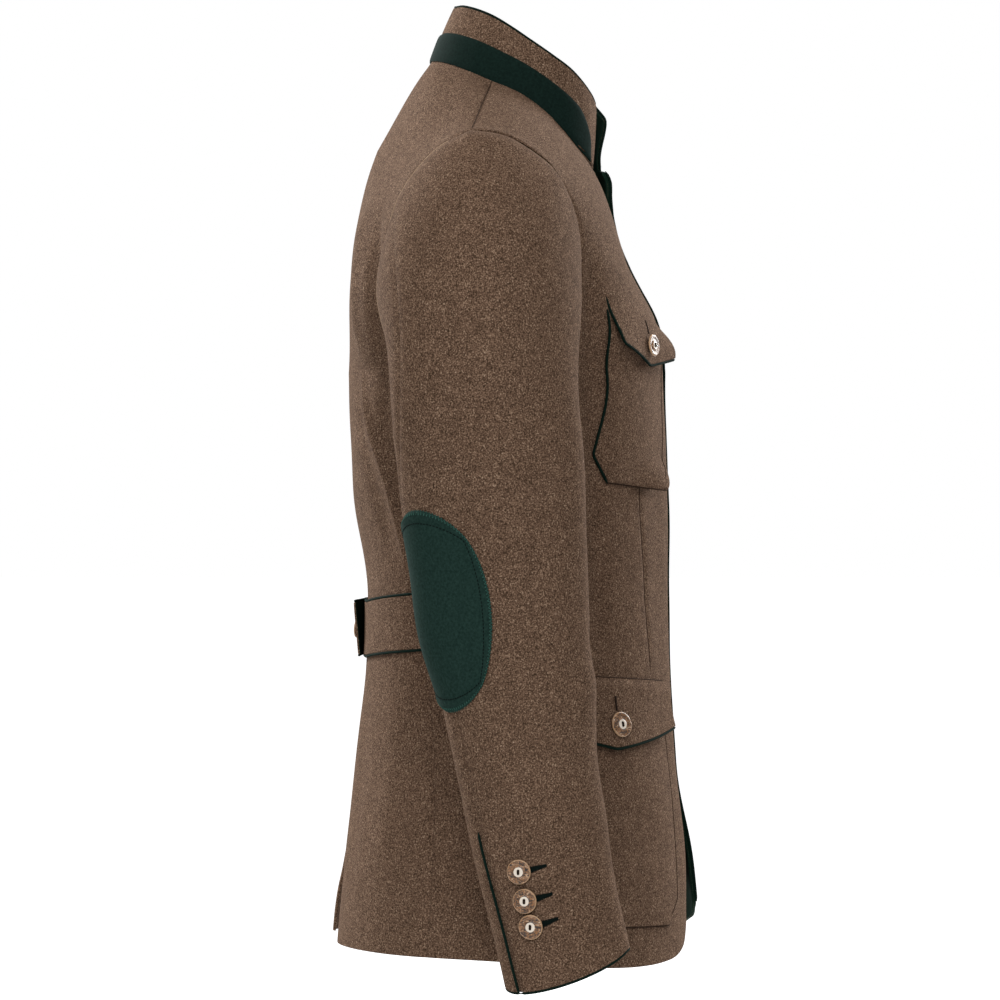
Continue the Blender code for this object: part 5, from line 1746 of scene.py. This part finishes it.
middle = BELT_TOP - BELT_HEIGHT / 2
centre = belt_seat(-0.012, middle, 0.0004)
n = unit(np.cross(belt_seat(-0.012, middle + 0.004, 0) - centre, belt_seat(-0.008, middle, 0) - centre))
n = n if n[1] > 0 else -n
turned("belt_horn_button", centre, n, BELT_BUTTON, "belt_button", 1)
stitched_slit(
    "belt_buttonhole", lambda along, across: belt_seat(-0.001 + along, middle + across, 0.0002),
    side=1, **BROWN_SLIT,
)
print("belt made")


# %% [markdown]
# ## Elbow patches and cuffs
# The patch is an oval of felt, held round its edge by a zigzag of thread and by a second line of stitches.
# The cuff has a slit along the hind seam, edged with cord, and three buttons whose holes are worked in
# green.


# %% Places on the folded sleeve
def laid_on_sleeve(share, angle, out, side):
    """Points of the sleeve on top of its folds, moved out of the cloth."""
    share, angle, out = arrays(share, angle, out)
    p, above = on_sleeve(share, angle), on_sleeve(share, angle, 0.01)
    return p + (fold_push(p, SLEEVE_FOLDS, side) + out)[..., None] * unit(above - p)


SLEEVE_LENGTH = (SLEEVE["front_z"] + SLEEVE["rear_z"])[0] - (SLEEVE["front_z"] + SLEEVE["rear_z"])[-1]
PER_SHARE = SLEEVE_LENGTH / 2 / (1 - CAP_SHARE)


# %% Elbow patches
def patch_angles():
    """The sleeve's angle by arc from the patch's middle."""
    angles = np.linspace(-85, 85, 171)
    ring = sleeve(ELBOW["share"] + 0 * angles, ELBOW["angle"] + angles)
    arcs = tape(ring)
    return arcs - np.interp(0, angles, arcs), angles


PATCH_ARCS, PATCH_ANGLES = patch_angles()


def on_patch(across, up, out, side):
    """Points on the sleeve by distance from the patch's middle: across, and up the sleeve."""
    angle = ELBOW["angle"] + np.interp(across, PATCH_ARCS, PATCH_ANGLES)
    return laid_on_sleeve(ELBOW["share"] - up / PER_SHARE, angle, out, side)


def rounded(u, v):
    """A square's points as an oval patch's, a little fuller at its corners than an ellipse."""
    up = ELBOW["high"] * v * np.sqrt(1 - ELBOW_CORNER * u * u)
    return ELBOW["wide"] * u * np.sqrt(1 - ELBOW_CORNER * v * v) + ELBOW_SKEW * up, up


def patch_line(inward, count=400):
    """Even points round the patch, this far inside its edge, and the length of the line through them."""
    turn = np.linspace(0, 2 * math.pi, 801)
    square = np.maximum(abs(np.sin(turn)), abs(np.cos(turn))) / (1 - inward / ELBOW_REACH)
    line = np.stack(rounded(np.sin(turn) / square, np.cos(turn) / square), -1)
    along = tape(line)
    even = np.linspace(0, along[-1], count + 1)
    return np.stack([np.interp(even, along, line[:, k]) for k in range(2)], -1), along[-1]


def elbow_patch(side, word):
    """A patch, the zigzag over its edge and the line of stitches inside it."""
    u, v = np.meshgrid(np.linspace(-1, 1, 57), np.linspace(-1, 1, 81))
    across, up = rounded(u, v)
    rim = (1 - np.maximum(abs(u), abs(v))) * ELBOW_REACH
    stitched = -0.0004 * np.exp(-(((rim - ELBOW_STITCHES) / 0.0012) ** 2))
    laid(
        f"{word}_elbow_felt", lambda out: on_patch(across, up, out, side), LAID + 0 * rim, FELT + stitched,
        rim, GREEN_FELT, f"elbow_patch_{word}", side,
    )
    around = patch_line(0.0)[1]
    count = 2 * round(around / 0.0026)
    outer, inner = patch_line(-0.0003, count)[0], patch_line(0.0022, count)[0]
    even = (np.arange(count + 1) % 2 == 0)[:, None]
    across, up = np.where(even, inner, outer).T
    high = np.where(even[:, 0], LAID + FELT + 0.0003, 0.0005)
    route = on_patch(across, up, high, side)
    steps = np.arange(0, len(route) - 1, 0.5)
    dense = np.stack([np.interp(steps, np.arange(len(route)), route[:, k]) for k in range(3)], -1)
    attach(tube(f"{word}_elbow_zigzag", dense, 0.00036, GREEN_THREAD, side, 6), "root")
    count = round(around / 0.0030)
    across, up = patch_line(ELBOW_STITCHES, 6 * count)[0].T
    line = on_patch(across, up, LAID + FELT - 0.0001, side)
    routes = [line[6 * k + 1 : 6 * k + 6 : 2] for k in range(count)]
    stitches(f"{word}_elbow_stitches", routes, 0.00045, DARK_THREAD, side)


# %% Cuffs
def cuff(side, word):
    """The slit's cord, the cuff's cord in two lengths, and three buttons with their buttonholes."""
    shares = np.linspace(0.812, 1.0, 30)
    route = laid_on_sleeve(shares, hind(shares), PIPING + GAP, side)
    route = np.vstack([route, route[-1] + 0.0014 * unit(route[-1] - route[-2])])
    cord(f"{word}_cuff_slit_cord", route, f"cuff_{word}_slit_piping", side)
    slit = float(hind(1)) - 360
    lengths = ("hem", 108, 60, f"cuff_{word}_hem_piping"), ("rear", slit - 40, 16, None)
    for name, last, count, node in lengths:
        angles = np.linspace(slit, last, count)
        end = sleeve(1 + 0 * angles, angles)
        route = laid_on_sleeve(1 + 0 * angles, angles, -CLOTH / 2, side)
        route = route + 0.9 * PIPING * unit(end - sleeve(0.99 + 0 * angles, angles))
        cord(f"{word}_cuff_{name}_cord", route, node, side)
    for k, (share, angle) in enumerate(zip(CUFF_BUTTONS["share"], CUFF_BUTTONS["angle"])):
        seat = laid_on_sleeve(share, angle, 0.0004, side)
        n = unit(laid_on_sleeve(share, angle, 0.01, side) - seat)
        turned(f"{word}_cuff_horn_button_{k + 1}", seat, n, CUFF_BUTTON, f"cuff_{word}_button_{k + 1}", side)
        ring = sleeve(share, np.array((angle + 1.0, angle - 1.0)))
        per_degree = np.linalg.norm(ring[1] - ring[0]) / 2

        def place(along, across, share=share, angle=angle, per_degree=per_degree):
            turn = (CUFF_BUTTON - 0.0008 + along) / per_degree
            down = 0.0008 + 0.17 * along + across
            return laid_on_sleeve(share - down / PER_SHARE, angle + turn, 0.0004, side)

        stitched_slit(f"{word}_cuff_buttonhole_{k + 1}", place, side=side, **GREEN_SLIT)


for side, word in SIDES:
    elbow_patch(side, word)
    cuff(side, word)
print("patches and cuffs made")


# %% [markdown]
# ## What is cloth, and how it was cut
# Every panel is kept as a sheet with the flat size it was cut to, measured on the panel itself, and the
# trims sewn onto some of them are listed.


# %% Sheets
TRIMS = {}
for name in list(PIECES):
    if name.endswith("_pocket_bag"):
        TRIMS[name] = [name.replace("_bag", "_cord")]
    if name.endswith("_pocket_flap"):
        stem = name.replace("_pocket_flap", "")
        TRIMS[name] = [f"{stem}_flap_cord", f"{stem}_buttonhole"]
for _, word in SIDES:
    TRIMS[f"belt_{word}_strap"] = [f"belt_{word}_top_cord", f"belt_{word}_bottom_cord"]
    TRIMS[f"{word}_elbow_felt"] = [f"{word}_elbow_zigzag", f"{word}_elbow_stitches"]
    TRIMS[f"{word}_upper_sleeve"] = [f"{word}_cuff_slit_cord", f"{word}_cuff_hem_cord"]
    TRIMS[f"{word}_upper_sleeve"] += [f"{word}_cuff_buttonhole_{k}" for k in (1, 2, 3)]
TRIMS["left_front_cloth"] = ["left_front_cord"]
TRIMS["collar_cloth"] = ["collar_cord"]


for name, (piece, width, length, area) in PIECES.items():
    print(f"{name}: {width * 1000:.0f} x {length * 1000:.0f} mm, {area * 1e4:.0f} cm2")


# %% [markdown]
# ## Pale floor, light and camera
# A white room alone would light the garment flat. Two large soft boxes, one before and one behind the
# wearer, light the chest and the back. The flank between them stays darker, which shows how round the
# garment is.


# %% Stage
def soft_box(name, place, size, power):
    """A large soft light, turned to the middle of the garment."""
    light = bpy.data.lights.new(name, "AREA")
    light.shape = "RECTANGLE"
    light.size, light.size_y = size
    light.energy = power
    box = bpy.data.objects.new(name, light)
    box.location = place
    away = mathutils.Vector(place) - MIDDLE
    box.rotation_euler = away.to_track_quat("Z", "Y").to_euler()
    bpy.context.scene.collection.objects.link(box)


def floor():
    """White paper that the camera sees as pure white."""
    material, tree, shader = finish("white paper floor")
    set_sockets(shader, {"Base Color": (0.6, 0.6, 0.6, 1), "Roughness": 0.9, "Emission Color": (1, 1, 1, 1)})
    seen = add(tree, "ShaderNodeLightPath").outputs["Is Camera Ray"]
    tree.links.new(seen, shader.inputs["Emission Strength"])
    mesh = bpy.data.meshes.new("paper_floor")
    corners = [(x, y, FLOOR) for x, y in ((-60, -60), (60, -60), (60, 60), (-60, 60))]
    mesh.from_pydata(corners, [], [(0, 1, 2, 3)])
    mesh.materials.append(material)
    paper = bpy.data.objects.new("paper_floor", mesh)
    bpy.context.scene.collection.objects.link(paper)


FLOOR = -1.15
floor()
MIDDLE = mathutils.Vector((0, 0, -0.2))
soft_box("rear_box", (1.7, 1.8, 0.9), (1.2, 1.4), 166)
soft_box("front_box", (1.8, -1.8, 0.7), (1.2, 1.6), 146)
soft_box("top_box", (-0.2, 0.4, 2.0), (1.6, 1.6), 21)
soft_box("side_box", (-2.7, 0.1, 1.3), (2.6, 1.6), 87)

# The camera sees the room as pure white. Its light on the cloth is dimmed, so that the folds keep their
# depth.
ROOM_LIGHT = 0.24
world = bpy.data.worlds.new("white room")
bpy.context.scene.world = world
world.use_nodes = True
tree = world.node_tree
seen = add(tree, "ShaderNodeLightPath").outputs["Is Camera Ray"]
strength = add(tree, "ShaderNodeMath", {0: seen, 1: 1 - ROOM_LIGHT, 2: ROOM_LIGHT}, operation="MULTIPLY_ADD")
background = tree.nodes["Background"]
background.inputs["Color"].default_value = (1, 1, 1, 1)
tree.links.new(strength.outputs[0], background.inputs["Strength"])


# %% Camera
lens = bpy.data.cameras.new("camera")
lens.sensor_width = 36
lens.lens = 138.8
lens.clip_start, lens.clip_end = 0.1, 40
camera = bpy.data.objects.new("camera", lens)
camera.location = (-3.2, 0, -0.339)
camera.rotation_euler = (math.pi / 2, 0, -math.pi / 2)
bpy.context.scene.collection.objects.link(camera)
bpy.context.scene.camera = camera
view = bpy.context.scene.view_settings
view.view_transform = "Standard"
view.look = "None"
